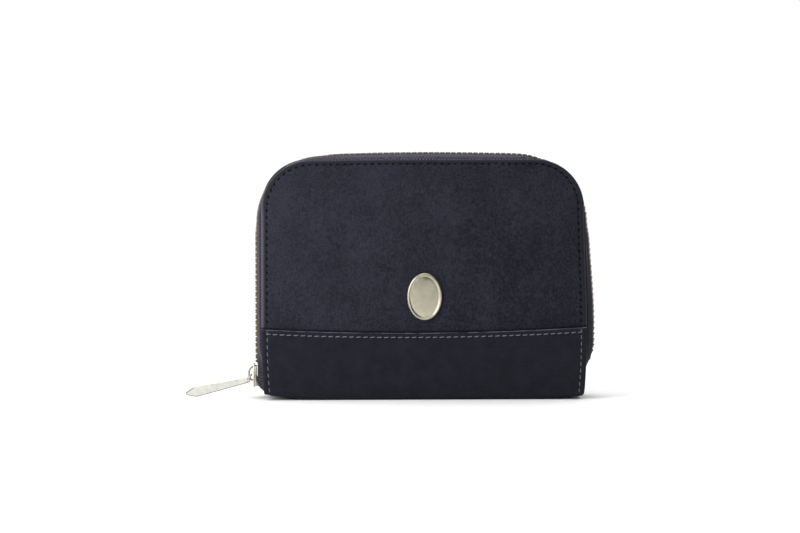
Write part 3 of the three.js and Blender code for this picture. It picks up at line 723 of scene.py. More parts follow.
def add_suede_panel(name, body, side):
    """One cover's suede: rings down its turned edge, then triangles over its face."""
    rings = [outline(inset, SUEDE_LOW, 0.8) for inset in SUEDE_RINGS]
    count = len(rings[0])
    foot, inner, triangles = fill_inside(rings[-1], SUEDE_LOW, 1.5)
    flat = [p for ring in rings for p in ring] + foot + inner
    start = (len(rings) - 1) * count
    faces = [tuple(start + i for i in triangle) for triangle in triangles]
    for a in (r * count + i for r in range(len(rings) - 1) for i in range(count - 1)):
        faces.append((a, a + 1, a + count + 1, a + count))
    loop = list(range(count))
    loop += [r * count + count - 1 for r in range(1, len(rings))]
    loop += [len(rings) * count + i for i in range(len(foot))]
    loop += [r * count for r in range(len(rings) - 1, 0, -1)]
    total = len(flat)
    outer = [suede_point(x, side * suede_distance(x, z, side), z) for x, z in flat]
    glued = [suede_point(x, side * BASE, z) for x, z in flat]
    faces += [tuple(total + i for i in reversed(face)) for face in faces]
    faces += [(a, b, total + b, total + a) for a, b in zip(loop, loop[1:] + loop[:1])]
    panel = Build().add(outer + glued, faces)
    panel.piece(f"{name}_suede", "suede", body, [f"{name}_suede_panel"], settled=True)


# ---- Leather band round the spine -----------------------------------------------------

# Stops close together at the rolled edges and the stitch rows: down from the top, and in
# from each end.
BAND_DROPS = [0, 0.06, 0.16, 0.3, 0.5, 0.8, 1.2, 1.55, 1.75, 1.9, 2.0, 2.1, 2.25, 2.45, 2.9, 3.7,
              5, 6.3, 7.3, 8.3, 10, 12, 14, 16, 18, 20, 22, 24, 26]
BAND_EDGES = [0, 0.12, 0.3, 0.55, 0.9, 1.4, 1.9, 2.1, 2.25, 2.35, 2.45, 2.6, 2.85, 3.5, 4.6]


def lift(x):
    """How far the spine's underside stands off the surface, towards its two ends."""
    rise, start = LEFT_LIFT if x < 0 else RIGHT_LIFT
    return rise * max(0.0, (abs(x) - start) / (HALF_W - start)) ** 1.4


def band_stations():
    """Stops down the front, under the spine and up the back, as (kind, side, value)."""
    stops = [("wall", drop) for drop in BAND_DROPS]
    stops += [("corner", math.radians(angle)) for angle in range(0, 90, 11)]
    front, back = ([(kind, side, value) for kind, value in stops] for side in (-1, 1))
    half = BAND_FACE - SPINE_R
    floor = [("floor", 0, y) for y in spread(-half, half, 10)]
    return front + floor + back[::-1]


def band_base(x, kind, side, value):
    """Height, distance and inward direction of the band's outer face, before any sinking."""
    foot = SPINE_R + lift(x)
    if kind == "wall":
        full = BAND_SIDE_TOP - SPINE_R
        z = foot + (band_top(x) - foot) * (1 - value / full)
        return Vector((side * BAND_FACE, z)), Vector((-side, 0))
    if kind == "corner":
        out = Vector((side * math.cos(value), -math.sin(value)))
        return Vector((side * (BAND_FACE - SPINE_R), foot)) + out * SPINE_R, -out
    return Vector((value, lift(x))), Vector((0, 1))


def band_half_width(z, x):
    over = min(max(0.0, END_ROUND - (z - lift(x))), END_ROUND)
    return HALF_W - taper(z) - (END_ROUND - math.sqrt(END_ROUND ** 2 - over ** 2)) * 0.6


def band_sink(inset, kind, value):
    """How far the band's outer face lies under its plain shape."""
    upright = {"wall": 1.0, "corner": 1 - smooth((value - 0.3) / 0.8), "floor": 0.0}[kind]
    sink = edge_roll(inset, 1.0, 0.5 + 0.25 * upright) + groove(inset, SIDE_STITCH_INSET, 0.5, 0.22 * upright)
    if kind == "wall":
        sink += edge_roll(value, 0.3, 0.4) + groove(value, SEAM_INSET, 0.5, 0.25)
        sink += 0.12 * smooth(value / 0.9) * smooth(1.6 - value / 2)
    return sink


def band_point(x, station, outer=True):
    kind, side, value = station
    base, inward = band_base(x, kind, side, value)
    inset = HALF_W - abs(x)
    narrow = HALF_W - band_half_width(base.y, x)
    shifted = x - math.copysign(narrow, x) * smooth(abs(x) / HALF_W * 2 - 0.9)
    if outer:
        wave = 0.06 * drift(x, base.y, 0.07, 5 + side) * smooth(inset / 6) if kind == "wall" else 0
        base = base + inward * (band_sink(inset, kind, value) - wave)
        return (shifted, base.x, base.y)
    return (shifted, *band_inner(base, inward, kind, side, value))


def band_inner(base, inward, kind, side, value):
    """The band's inner face: glued to the board, or lapped over the suede's foot."""
    if kind == "wall":
        lap = ramp(base.y, 21.1, 0.7)
        return side * (BASE + (FACE - BASE) * lap), base.y
    if kind == "corner":
        wall_thick = BAND_FACE - BASE
        point = base + inward * (wall_thick + (SPINE_LEATHER - wall_thick) * smooth(value / 1.2))
        return point.x, max(point.y, SPINE_LEATHER)
    return base.x, max(SPINE_LEATHER, base.y + 0.25)


def edge_columns(edges, half, step):
    """Places across the wallet, close together at both ends."""
    run = half - edges[-1]
    middle = spread(-run, run, round(2 * run / step))[1:-1]
    return [edge - half for edge in edges] + middle + [half - edge for edge in reversed(edges)]


def add_band():
    stations = band_stations()
    # Each station's share of painted highlight, for the leather's colour.
    highlight_share = [top_edge_highlight(kind, value) for kind, _, value in stations]
    rings = []
    for x in edge_columns(BAND_EDGES, HALF_W, 1.9):
        ring = [band_point(x, station) for station in stations]
        ring += [band_point(x, station, outer=False) for station in reversed(stations)]
        rings.append([(*p, x, p[1] + p[2], share) for p, share in zip(ring, highlight_share + highlight_share[::-1])])
    build = Build().rings(rings, ends="open")
    count = len(rings[0])
    last = (len(rings) - 1) * count
    strips = [(i, i + 1, count - 2 - i, count - 1 - i) for i in range(count // 2 - 1)]
    build.faces += strips + [tuple(last + i for i in strip) for strip in strips]
    band = build.piece("leather_band", "leather", stands_for=["front_band", "spine_band"], settled=True)
    blend_spine(band)


def top_edge_highlight(kind, value):
    """Share of painted highlight, along the band's folded top edge."""
    return 1 - smooth(value / 0.4) if kind == "wall" else 0.0


def blend_spine(piece):
    """Bakes the placement of a piece that runs over the spine into its mesh."""
    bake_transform(piece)


# ---- Stitches -------------------------------------------------------------------------


def lengths_along(path):
    total = [0.0]
    for a, b in zip(path, path[1:]):
        total.append(total[-1] + (b - a).length)
    return total


def at_length(path, totals, s):
    """The point at a distance along a path."""
    for i in range(1, len(path)):
        if totals[i] >= s or i == len(path) - 1:
            share = (s - totals[i - 1]) / max(totals[i] - totals[i - 1], 1e-9)
            return path[i - 1].lerp(path[i], min(max(share, 0.0), 1.0))


def add_stitch(build, points, normal, radius, proud):
    """One stitch: a fat arched thread, a little slanted, whose two ends dive into their holes."""
    slant = 0.9
    count = len(points) - 1
    long = (points[-1] - points[0]).length
    across = (points[-1] - points[0]).normalized().cross(normal).normalized()
    rings = []
    for i, point in enumerate(points):
        t = 2 * i / count - 1
        rise = proud - (proud + 1.6 * radius) * abs(t) ** 5
        thick = radius * (1 - 0.35 * abs(t) ** 3)
        centre = point + normal * rise - across * t * radius * slant
        rings.append([(*(centre + across * p.x + normal * p.y), t * long / 2, k / 6)
                      for k, p in enumerate(oval(thick * 1.15, thick, 6))])
    build.rings(rings)


def stitch_row(build, path, normal, radius, proud=0.0, long=STITCH_LONG, margin=0.1):
    """Stitches down a path, facing one way."""
    path = [Vector(p) for p in path]
    totals = lengths_along(path)
    count = max(1, round((totals[-1] - 2 * margin) / STITCH_PITCH))
    even = (totals[-1] - 2 * margin) / count
    for i in range(count):
        middle = margin + even * (i + 0.5)
        reach = long * even / STITCH_PITCH / 2
        points = [at_length(path, totals, middle + reach * t) for t in (-1, -0.8, -0.45, 0, 0.45, 0.8, 1)]
        add_stitch(build, points, Vector(normal), radius, proud)


def cover_stitch_path(side, low):
    """The row round a cover, on the suede."""
    flat = outline(STITCH_INSET, low, 0.5)
    return [draw_sides(x, side * suede_distance(x, z, side), z) for x, z in flat]


def band_side_path(side, sign):
    """The row down one end of the band."""
    x = sign * (HALF_W - SIDE_STITCH_INSET)
    values = [value for kind, here, value in band_stations() if kind == "wall" and here == side]
    path = [band_point(x, ("wall", side, value)) for value in values]
    return path + [band_point(x, ("corner", side, math.radians(angle))) for angle in (10, 20, 30, 40)]


def add_cover_stitches(name, body, side):
    out = (0, side, 0)
    # The stitches on the suede take the painted-shade copy of the thread.
    dark = Build()
    path = cover_stitch_path(side, BAND_SIDE_TOP + 0.6)
    stitch_row(dark, path, out, radius=0.34, proud=0.02, long=1.3, margin=0.3)
    dark.piece(f"{name}_edge_stitches", "shade_painted_thread", body, settled=True)
    light = Build()
    for sign in (-1, 1):
        stitch_row(light, band_side_path(side, sign), out, radius=0.17, proud=-0.01, margin=0.2)
    seam = [band_point(x, ("wall", side, SEAM_INSET)) for x in spread(-HALF_W, HALF_W, 120)[1:-1]]
    stitch_row(light, seam, out, radius=0.23, proud=0.02, long=2.3, margin=0.2)
    light.piece(f"{name}_band_stitches", "light_thread", body, settled=True)


# ---- Main zip -------------------------------------------------------------------------


def rim_at(s):
    """Point and direction, in X and Z, at a distance along the rim line from its left foot."""
    point = Vector((-RIM_HALF_W, RIM_LOW))
    along = Vector((0, 1))
    for length, radius in RIM_STRETCHES:
        step = min(s, length)
        point, along = walk(point, along, step, radius)
        s -= step
    return point, along


def walk(point, along, step, radius):
    """Goes on by a step, straight where there is no radius, or else turning right."""
    if not radius:
        return point + along * step, along
    right = Vector((along.y, -along.x))
    turn = step / radius
    moved = point + along * radius * math.sin(turn) + right * radius * (1 - math.cos(turn))
    return moved, along * math.cos(turn) + right * math.sin(turn)


def rim_point(s, inset, y):
    point, along = rim_at(s)
    return (point.x + along.y * inset, y, point.y - along.x * inset)


def add_tape(name, body, side):
    """Half of the zip tape, swept round the rim, with a little slackness between its edges."""
    line = through(TAPE_LINE, 5)
    totals = lengths_along(line)
    half = TAPE_THICK / 2
    rings = []
    for s in spread(0, RIM_LENGTH, round(RIM_LENGTH / 0.9)):
        faces = ([], [])
        for i, point in enumerate(line):
            slack = smooth(totals[i] / 5 - 0.6) * smooth((totals[-1] - totals[i]) / 3)
            pucker = 0.16 * noise.noise(Vector((s * 0.33, side * 4.0, i * 0.12))) * slack
            for face, offset in zip(faces, (half, -half)):
                spot = point + line_normal(line, i) * (offset - pucker)
                face.append((*rim_point(s, spot.y, side * spot.x), s, totals[i]))
        rings.append(faces[0] + faces[1][::-1])
    tape = Build().rings(rings)
    tape.piece(f"{name}_tape", "zip_tape", body, [f"{name}_zip_tape"], settled=True)


# One tooth from above: (along the rim, distance); its nose crosses the middle plane.
TOOTH_HALF = 0.54
TOOTH_MIDDLE = 1.05
TOOTH_FLANK = [(0.14, 2.1), (0.4, 2.4), (TOOTH_HALF, 2.26), (TOOTH_HALF, 0.7), (0.44, 0.25), (0.46, 0.0),
               (0.26, -0.24)]
TOOTH_OUTLINE = TOOTH_FLANK + [(-a, distance) for a, distance in reversed(TOOTH_FLANK)]
TOOTH_LEVELS = [(0.85, 0.12), (0.95, 0.0), (-0.6, 0.0), (-0.86, 0.06), (-1.04, 0.17), (-1.12, 0.32)]
CORD_AT = 2.1
CORD_R = 0.42


def tooth_ring(s, side, inset, draw_in):
    """One level of a tooth, drawn in towards the middle of its body."""
    point, along = rim_at(s)
    ring = []
    for a, distance in TOOTH_OUTLINE:
        a *= 1 - draw_in / TOOTH_HALF
        distance = TOOTH_MIDDLE + (distance - TOOTH_MIDDLE) * (1 - draw_in / 1.4)
        ring.append((point.x + along.x * a + along.y * inset, side * distance,
                     point.y + along.y * a - along.x * inset))
    return ring


def add_teeth(name, body, side):
    """Half of the teeth, and the bead cord that they clamp."""
    build = Build()
    first = TEETH_FROM_Z - RIM_LOW + (TOOTH_PITCH / 2 if side > 0 else 0)
    last = first + (TEETH_PER_ROW - 1) * TOOTH_PITCH
    for s in spread(first, last, TEETH_PER_ROW - 1):
        build.rings([tooth_ring(s, side, inset, draw_in) for inset, draw_in in TOOTH_LEVELS])
    build.piece(f"{name}_teeth", "brass", body, [f"{name}_zip_teeth"], sharp=35, settled=True)
    add_bead_cord(name, body, side, first, last)


def add_bead_cord(name, body, side, first, last):
    """The cord in the tape's edge. It runs on a little past the end teeth."""
    past = 0.7
    cord = Build().rings([[(*rim_point(s, p.y, side * (CORD_AT + p.x)), s, i * 0.3)
                           for i, p in enumerate(oval(CORD_R, CORD_R, 8))]
                          for s in spread(first - past, last + past, round((last - first) / 1.2))])
    cord.piece(f"{name}_bead_cord", "zip_tape", body, settled=True)


def add_clip(name, body, node):
    """An end stop: a strip of metal bent round the tape's edge."""
    low, high = span(node)
    centre = (low + high) / 2
    half = (high - low) / 2
    loop = rounded_box(half.x, half.y, min(half.x, half.y) * 0.55, 4)
    upper = [(0.09, 0.08), (0, half.z - 0.3), (0.03, half.z - 0.12), (0.14, half.z)]
    levels = [(inset, -height) for inset, height in reversed(upper)] + upper
    clip = Build().rings([[(centre.x + p.x, centre.y + p.y, centre.z + h) for p in inset_loop(loop, inset)]
                          for inset, h in levels])
    clip.piece(name, "brass", body, [node], sharp=35, settled=True)


# ---- Main slider, ring and pull -------------------------------------------------------

SLIDER_PLATE = 0.8
SLIDER_SLOT = 0.5
SLIDER_CHANNEL = 2.65
SLIDER_NARROWS = 0.4
CROWN_PAINTED_SHADE = 0.6                 # the crown's share of painted shade, the edge's dark colour over all of it


def slider_outline():
    """A slider plate, in Y and Z."""
    low, high = SLIDER_SPAN
    wide, narrow = high.y, high.y - SLIDER_NARROWS
    right = [(wide - 1.6, low.z), (wide - 0.5, low.z + 0.35), (wide, low.z + 1.3), (wide, low.z + 2.6),
             (narrow, low.z + 4.4), (narrow, high.z - 2.2), (narrow - 0.45, high.z - 0.9),
             (narrow - 1.6, high.z)]
    return [Vector(p) for p in right] + [Vector((-y, z)) for y, z in reversed(right)]


def slider_rail(side):
    """One turned-in flange of a slider plate, in Y and Z."""
    low, high = SLIDER_SPAN
    wide, narrow = high.y, high.y - SLIDER_NARROWS
    loop = [(SLIDER_CHANNEL, low.z + 0.9), (wide - 0.3, low.z + 0.8), (wide, low.z + 1.4),
            (wide, low.z + 2.6), (narrow, low.z + 4.4), (narrow, high.z - 1.6),
            (narrow - 0.3, high.z - 1.1), (SLIDER_CHANNEL, high.z - 1.0)]
    loop = [Vector((side * y, z)) for y, z in loop]
    return loop if side > 0 else loop[::-1]


def add_slider():
    low, high = SLIDER_SPAN
    build = Build()
    upright = lambda a, b, h: (h, a, b)
    mirrored = lambda a, b, h: (2 * low.x + SLIDER_PLATE - h, a, b)
    slab(build, slider_outline(), low.x, low.x + SLIDER_PLATE, 0.22, mirrored)
    slab(build, slider_outline(), high.x - SLIDER_PLATE, high.x, 0.22, upright)
    for rail in (slider_rail(-1), slider_rail(1)):
        slab(build, rail, low.x + SLIDER_PLATE - 0.15, -RIM_HALF_W - SLIDER_SLOT, 0.12, upright)
        slab(build, rail, -RIM_HALF_W + SLIDER_SLOT, high.x - SLIDER_PLATE + 0.15, 0.12, upright)
    foot = low.z + 0.3
    flank = [(1.0, foot + 1.6), (0.9, foot + 2.6)]
    wedge = [(0, foot), *flank, (0, foot + 4.4), *((-y, z) for y, z in reversed(flank))]
    slab(build, [Vector(p) for p in wedge], low.x + 0.3, high.x - 0.3, 0.1, upright)
    build.piece("slider", "satin_gold", "zip_slider", ["slider_body"], sharp=35)


def add_slider_crown():
    """The bridge that the ring hangs in, standing out from the slider's plate."""
    low, high = CROWN_SPAN
    middle = (low.z + high.z) / 2 + 0.35
    half = (high.z - low.z) / 2 + 0.75
    sunk = 0.25
    reach = high.x - low.x - 0.3 + sunk
    path = []
    for turn in spread(0, math.pi, 16):
        bow = max(math.sin(turn), 0) ** 0.7
        path.append((high.x + sunk - reach * bow, 0, middle + half * math.cos(turn)))
    build = Build()
    sweep(build, path, rounded_box(0.42, 0.78, 0.2), (0, 1, 0))
    # Painted shade: the whole crown takes a share of the edge's dark colour.
    build.weave = [(0.0, 0.0, CROWN_PAINTED_SHADE)] * len(build.points)
    build.piece("crown", "pale_gold", "zip_slider", ["slider_crown"], sharp=35)


RING_WIRE = 0.35
PULL_LONG = 26.2
PULL_SHOULDER = 22.2
PULL_HOLE_R = 0.62
PULL_DROOP = math.radians(12.6)


def add_ring():
    pivot = JOINT_AT["pull_ring_hinge"]
    eye = JOINT_AT["pull_tab_hinge"]
    along = (pivot - eye).normalized()
    radius = (pivot - eye).length / 2
    path = [(pivot + eye) / 2 + along * p.x + Vector((0, p.y, 0)) for p in oval(radius, radius, 40)]
    wire = oval(RING_WIRE, RING_WIRE, 12)
    build = sweep(Build(), path, wire, along.cross((0, 1, 0)), closed=True)
    build.piece("ring", "satin_gold", "pull_ring", ["pull_ring"], sharp=60)


def pull_outline():
    """The pull, drawn from its eye outward: round end, straight flanks, narrow blunt tip."""
    end_r, shoulder_half, tip_half = 1.2, 2.2, 0.5
    lean = math.atan2(shoulder_half - end_r, PULL_SHOULDER)
    loop = [Vector((end_r * math.cos(turn), end_r * math.sin(turn)))
            for turn in spread(math.pi / 2 + lean, 3 * math.pi / 2 - lean, 16)]
    flank = [(PULL_SHOULDER * t, end_r + (shoulder_half - end_r) * t)
             for t in (0.15, 0.35, 0.55, 0.75, 0.9, 0.985)]
    flank += [(PULL_SHOULDER + 0.5, shoulder_half - 0.18), (PULL_LONG - 0.2, tip_half + 0.12)]
    flank.append((PULL_LONG, tip_half - 0.1))
    loop += [Vector((a, -b)) for a, b in flank]
    return loop + [Vector((a, b)) for a, b in reversed(flank)]


def add_pull():
    eye = JOINT_AT["pull_tab_hinge"]
    half = span("pull_tab")[1].y
    out = Vector((-math.cos(PULL_DROOP), 0, -math.sin(PULL_DROOP)))
    up = Vector((out.z, 0, -out.x))
    outer = pull_outline()
    hole = [p.normalized() * PULL_HOLE_R for p in outer]
    # Painted shade on the pull's edge: full on its lower side and tip, faint on its upper side.
    build = ring_slab(Build(), outer, hole, half, (0.26, 0.2),
                      lambda a, b, h: eye + out * a + up * b + Vector((0, h, 0)),
                      shade=lambda p: 1.0 if p.y < 0 or p.x > PULL_LONG - 0.5 else 0.3)
    build.piece("pull", "pale_gold", "pull_tab", ["pull_tab"], sharp=30)


# ---- Emblem ---------------------------------------------------------------------------

# From the rim inward: (inset, share of the plate's height).
EMBLEM_LEVELS = [(0.0, 0.02), (0.0, 0.45), (0.05, 0.62), (0.16, 0.78), (0.35, 0.92), (0.6, 1.0),
                 (0.85, 0.95), (1.02, 0.8), (1.12, 0.62), (1.3, 0.52), (1.55, 0.5), (1.8, 0.56),
                 (1.95, 0.58), (2.6, 0.62), (3.6, 0.67), (4.8, 0.71), (6.2, 0.735), (7.0, 0.74)]


def add_emblem():
    """A plain oval plate: rounded outer edge, raised bead, and a gently domed field."""
    proud = EMBLEM_FACE - FACE
    rings = []
    for inset, share in EMBLEM_LEVELS:
        loop = oval(EMBLEM_HALF_W - inset, EMBLEM_HALF_H - inset, 96)
        rings.append([(p.x, -FACE - proud * share, EMBLEM_Z + p.y) for p in loop])
    build = Build().rings(rings)
    for z in (EMBLEM_Z - 5, EMBLEM_Z + 5):
        block(build, (-0.8, 0.8), (-FACE - 0.2, EMBLEM_SPAN[1].y), (z - 0.25, z + 0.25), 0.06)
    build.piece("emblem", "satin_gold", "front_cover", ["emblem_plate"], sharp=40)


# ---- Inside the covers ----------------------------------------------------------------

NOTCH_HALF = 10
NOTCH_DEPTH = 2.2


def close_outline(inset, low, step):
    """A cover's outline as a closed counterclockwise loop."""
    return [Vector(p) for p in reversed(outline(inset, low, step))]


def cover_leaf(node, loop, side, ease, seam):
    """A thin leaf inside a cover, with a line pressed in all round by its seam."""
    low, high = span(node)
    near, far = sorted((abs(low.y), abs(high.y)))
    inset, depth = seam
    face = [(inset - 0.2, far), (inset, far - depth), (inset + 0.2, far)]
    return slab(Build(), loop, near, far, ease, lambda a, b, h: (a, side * (near + far - h), b), face)


def add_lining(name, body, side):
    node = f"{name}_lining"
    low, high = span(node)
    lining = cover_leaf(node, close_outline(TOP - high.z, low.z, 3.0), side, 0.12, (1.1, 0.05))
    lining.piece(f"{name}_cloth_lining", "lining", body, [node])


def leaf_outline(half, low, top):
    """A card pocket leaf with a thumb notch in its top edge."""
    right = [(half - 1, low), (half, low + 1), (half, top - 0.6), (half - 0.6, top)]
    notch = [(NOTCH_HALF * t, top - NOTCH_DEPTH * (1 - t * t) ** 2) for t in spread(1, -1, 16)]
    left = [(-a, b) for a, b in reversed(right)]
    return [Vector(p) for p in right + notch + left]


def add_card_pockets(name, body, side):
    stitches = Build()
    foot = 10
    for tier in range(1, 5):
        node = f"{name}_card_pocket_{tier}"
        low, high = span(node)
        leaf = cover_leaf(node, leaf_outline(high.x, low.z, high.z), side, 0.13, (1.05, 0.07))
        leaf.piece(f"{name}_card_leaf_{tier}", "pocket_leather", body, [node])
        near = min(abs(low.y), abs(high.y))
        for x in (1.9 - high.x, high.x - 1.9):
            path = [(x, side * near, z) for z in spread(foot, high.z - 1.2, 8)]
            stitch_row(stitches, path, (0, -side, 0), radius=0.14)
        foot = high.z + 0.8
    stitches.piece(f"{name}_card_stitches", "light_thread", body)


def add_spine_lining():
    low, high = span("spine_lining")
    rings = []
    depths = spread(low.y, high.y, 12)
    for x in edge_columns([0, 0.1, 0.35, 0.9, 1.1, 1.3, 3], high.x, 4):
        fall = edge_roll(high.x - abs(x), 0.35, 0.25) + groove(high.x - abs(x), 1.1, 0.22, 0.06)
        rings.append([(x, y, high.z - fall, x, y) for y in depths]
                     + [(x, y, low.z, x, y) for y in reversed(depths)])
    blend_spine(Build().rings(rings).piece("spine_cloth_lining", "lining", stands_for=["spine_lining"]))


def gusset_ring(line, totals, z, sign):
    """The folded strip at one height."""
    high = GUSSET_SPAN[1]
    hem = 0.1 * ramp(z, high.z - 2.2, 0.5) - 0.06 * ramp(z, high.z - 0.3, 0.3)
    ring = []
    for sense in (1, -1):
        face = []
        for i, point in enumerate(line):
            slack = 0.3 * noise.noise(Vector((i * 0.2, z * 0.09, sign * 2.0))) * smooth(z / 20)
            inside = smooth(min(totals[i], totals[-1] - totals[i]) / 4)
            spot = point + line_normal(line, i) * (sense * (0.15 + hem) + slack * inside)
            face.append((sign * min(spot.x, high.x), spot.y, z, totals[i], z))
        ring += face[::sense]
    return ring


# ---- Gussets --------------------------------------------------------------------------

GUSSET_FOLDS = [(61.5, -9.5), (54.9, -6.9), (61.2, -4.4), (54.4, 0), (61.2, 4.4), (54.9, 6.9), (61.5, 9.5)]


def add_gusset(name, sign):
    """A folded cloth side, deepest half way up, with a turned hem along its top."""
    low, high = GUSSET_SPAN
    line = through(GUSSET_FOLDS, 8)
    totals = lengths_along(line)
    heights = [low.z, low.z + 0.4] + [low.z + 2.5 * i for i in range(1, 23)]
    heights += [high.z - 1.0, high.z - 0.4, high.z]
    build = Build().rings([gusset_ring(line, totals, z, sign) for z in heights])
    gusset = build.piece(f"{name}_folded_gusset", "lining", stands_for=[f"{name}_gusset"])
    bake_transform(gusset)


# ---- Coin pocket ----------------------------------------------------------------------

COIN_R = 4
COIL_WIRE = 0.12
COIL_PITCH = 1.15


def coin_outline(half, low, top):
    """The coin pocket's outline: square at the top, round at its two lower corners."""
    loop = [Vector((half, top)), Vector((-half, top))]
    for sign, start in ((-1, math.pi), (1, 1.5 * math.pi)):
        for turn in spread(start, start + math.pi / 2, 6):
            loop.append(Vector((sign * (half - COIN_R) + COIN_R * math.cos(turn),
                                low + COIN_R + COIN_R * math.sin(turn))))
    return loop


def add_coin_pocket():
    low, high = span("coin_pocket_front_wall")
    near, far = -high.y, -low.y
    stitches = Build()
    for name, side in (("front", -1), ("back", 1)):
        wall = slab(Build(), coin_outline(high.x, low.z, high.z), near, far, 0.15,
                    lambda a, b, h: (a, side * h, b), face=[(1.0, far), (1.2, far - 0.08), (1.4, far)])
        wall.piece(f"coin_{name}_wall", "lining", "coin_pocket", [f"coin_pocket_{name}_wall"])
        reach = 0.97 * high.x
        rim = [(x, side * far, high.z - 1.4) for x in spread(-reach, reach, 40)]
        stitch_row(stitches, rim, (0, side, 0), radius=0.15)
    stitches.piece("coin_pocket_stitches", "light_thread", "coin_pocket")
    add_coin_edge()
    add_coin_tab()


def add_coin_edge():
    """The strip between the two walls, down the sides and along the bottom."""
    low, high = span("coin_pocket_edge")
    outer = coin_outline(high.x, low.z, high.z)[1:]
    path = [(p.x, 0, p.y) for p in outer] + [(high.x, 0, high.z)]
    thick, bow = 0.6, 0.12
    section = [(-thick, -high.y), (0, -high.y), (-bow, 0), (0, high.y), (-thick, high.y), (-thick - 0.1, 0)]
    strip = sweep(Build(), path, section, (0, 1, 0))
    strip.piece("coin_edge_strip", "lining", "coin_pocket", ["coin_pocket_edge"])


def add_coin_tab():
    low, high = span("coin_pocket_tab")
    heights = spread(low.z, high.z, 8)
    rings = []
    for x in spread(low.x, high.x, 24):
        bow = 0.06 * drift(x, 0, 0.2, 9)
        rings.append([(x, low.y + bow, z, x, z) for z in heights]
                     + [(x, high.y + bow, z, x, z) for z in reversed(heights)])
    tab = Build().rings(rings).piece("coin_spine_tab", "lining", stands_for=["coin_pocket_tab"])
    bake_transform(tab)


def add_coin_coil(name, side):
    """A nylon coil, wound as a helix through its tape's edge."""
    node = f"coin_zip_coil_{name}"
    low, high = span(node)
    centre = (low + high) / 2
    wire = COIL_WIRE
    reach_y = (high.y - low.y) / 2 - wire
    reach_z = (high.z - low.z) / 2 - wire
    count = round((high.x - low.x) / COIL_PITCH) * 12
    rings = []
    for i, x in enumerate(spread(low.x + wire, high.x - wire, count)):
        turn = 2 * math.pi * i / 12 * side
        out = Vector((0, math.cos(turn), math.sin(turn)))
        point = Vector((x, centre.y + reach_y * out.y, centre.z + reach_z * out.z))
        rings.append([point + out * p.x + Vector((p.y, 0, 0)) for p in oval(wire, wire, 6)])
    Build().rings(rings).piece(f"coin_coil_{name}", "nylon", "coin_pocket", [node])


def add_coin_zip():
    for name, side in (("front", -1), ("back", 1)):
        node = f"coin_zip_tape_{name}"
        low, high = span(node)
        loop = [Vector(p) for p in ((low.x, low.y), (high.x, low.y), (high.x, high.y), (low.x, high.y))]
        tape = slab(Build(), loop, low.z, high.z, 0.1, lambda a, b, h: (a, b, h))
        tape.piece(f"coin_tape_{name}", "zip_tape", "coin_pocket", [node])
        add_coin_coil(name, side)
    add_coin_stop("left")
    add_coin_stop("right")


def add_coin_stop(end):
    node = f"coin_zip_stop_{end}"
    low, high = span(node)
    middle = (low + high) / 2
    loop = rounded_box((high.x - low.x) / 2, (high.y - low.y) / 2, 0.3)
    stop = slab(Build(), loop, low.z, high.z, 0.16, lambda a, b, h: (middle.x + a, middle.y + b, h))
    stop.piece(f"coin_stop_{end}", "brass", "coin_pocket", [node], sharp=35)


def add_coin_slider():
    low, high = span("coin_slider_body")
    middle = (low + high) / 2
    plate, slot, channel = 0.55, 0.45, 1.5
    half_long = (high.x - low.x) / 2
    build = Build()
    flat = lambda a, b, h: (middle.x + a, b, h)
    loop = rounded_box(half_long, high.y, 0.9)
    slab(build, loop, low.z, low.z + plate, 0.15, flat)
    slab(build, loop, high.z - plate, high.z, 0.15, flat)
    gap = (middle.z - slot, middle.z + slot)
    for side in (-1, 1):
        rail = [Vector((a, side * (channel + high.y) / 2 + b)) for a, b in
                rounded_box(half_long - 0.6, (high.y - channel) / 2, 0.2)]
        slab(build, rail, low.z + plate - 0.1, gap[0], 0.1, flat)
        slab(build, rail, gap[1], high.z - plate + 0.1, 0.1, flat)
    wedge = [Vector((a - half_long + 1.3, b)) for a, b in rounded_box(1.2, 0.5, 0.3)]
    slab(build, wedge, low.z + 0.2, high.z - 0.2, 0.08, flat)
    build.piece("coin_slider_plate", "pale_gold", "coin_slider", ["coin_slider_body"], sharp=35)
    add_coin_crown()


def add_coin_crown():
    low, high = span("coin_slider_crown")
    middle = (low.x + high.x) / 2
    outer = (high.x - low.x) / 2
    path = [(middle + (outer - 0.35) * math.cos(turn), 0, low.z - 0.15 + (outer - 0.2) * math.sin(turn))
            for turn in spread(0, math.pi, 12)]
    crown = sweep(Build(), path, rounded_box(0.33, high.y, 0.14), (0, 1, 0))
    crown.piece("coin_crown", "pale_gold", "coin_slider", ["coin_slider_crown"], sharp=35)


def add_coin_pull():
    """A flat tab with a window whose near bar lies in the crown."""
    low, high = span("coin_pull_tab")
    hinge = JOINT_AT["coin_pull_hinge"]
    rod = hinge.x - low.x
    long = high.x - hinge.x
    near_half, far_half = 1.3, high.y
    corners = [(-rod, -near_half), (long, -far_half), (long, far_half), (-rod, near_half)]
    corners = [Vector(corner) for corner in corners]
    outer = []
    for start, end in zip(corners, corners[1:] + corners[:1]):
        outer += [start.lerp(end, t) for t in (0.03, 0.15, 0.3, 0.5, 0.7, 0.85, 0.97)]
    window_end, half_b = 2.4, 0.7
    centre = Vector(((rod + window_end) / 2, 0))
    half_a = (window_end - rod) / 2
    hole = []
    for point in outer:
        ray = point - centre
        share = min(half_a / max(abs(ray.x), 1e-6), half_b / max(abs(ray.y), 1e-6))
        hole.append(centre + ray * share)
    # Its edges take ring_slab's painted shade in full.
    tab = ring_slab(Build(), outer, hole, (high.z - low.z) / 2, (0.12, 0.06),
                    lambda a, b, h: (hinge.x + a, b, (low.z + high.z) / 2 + h))
    tab.piece("coin_pull", "pale_gold", "coin_pull", ["coin_pull_tab"], sharp=30)


# ---- CAD nodes that keep their shape --------------------------------------------------


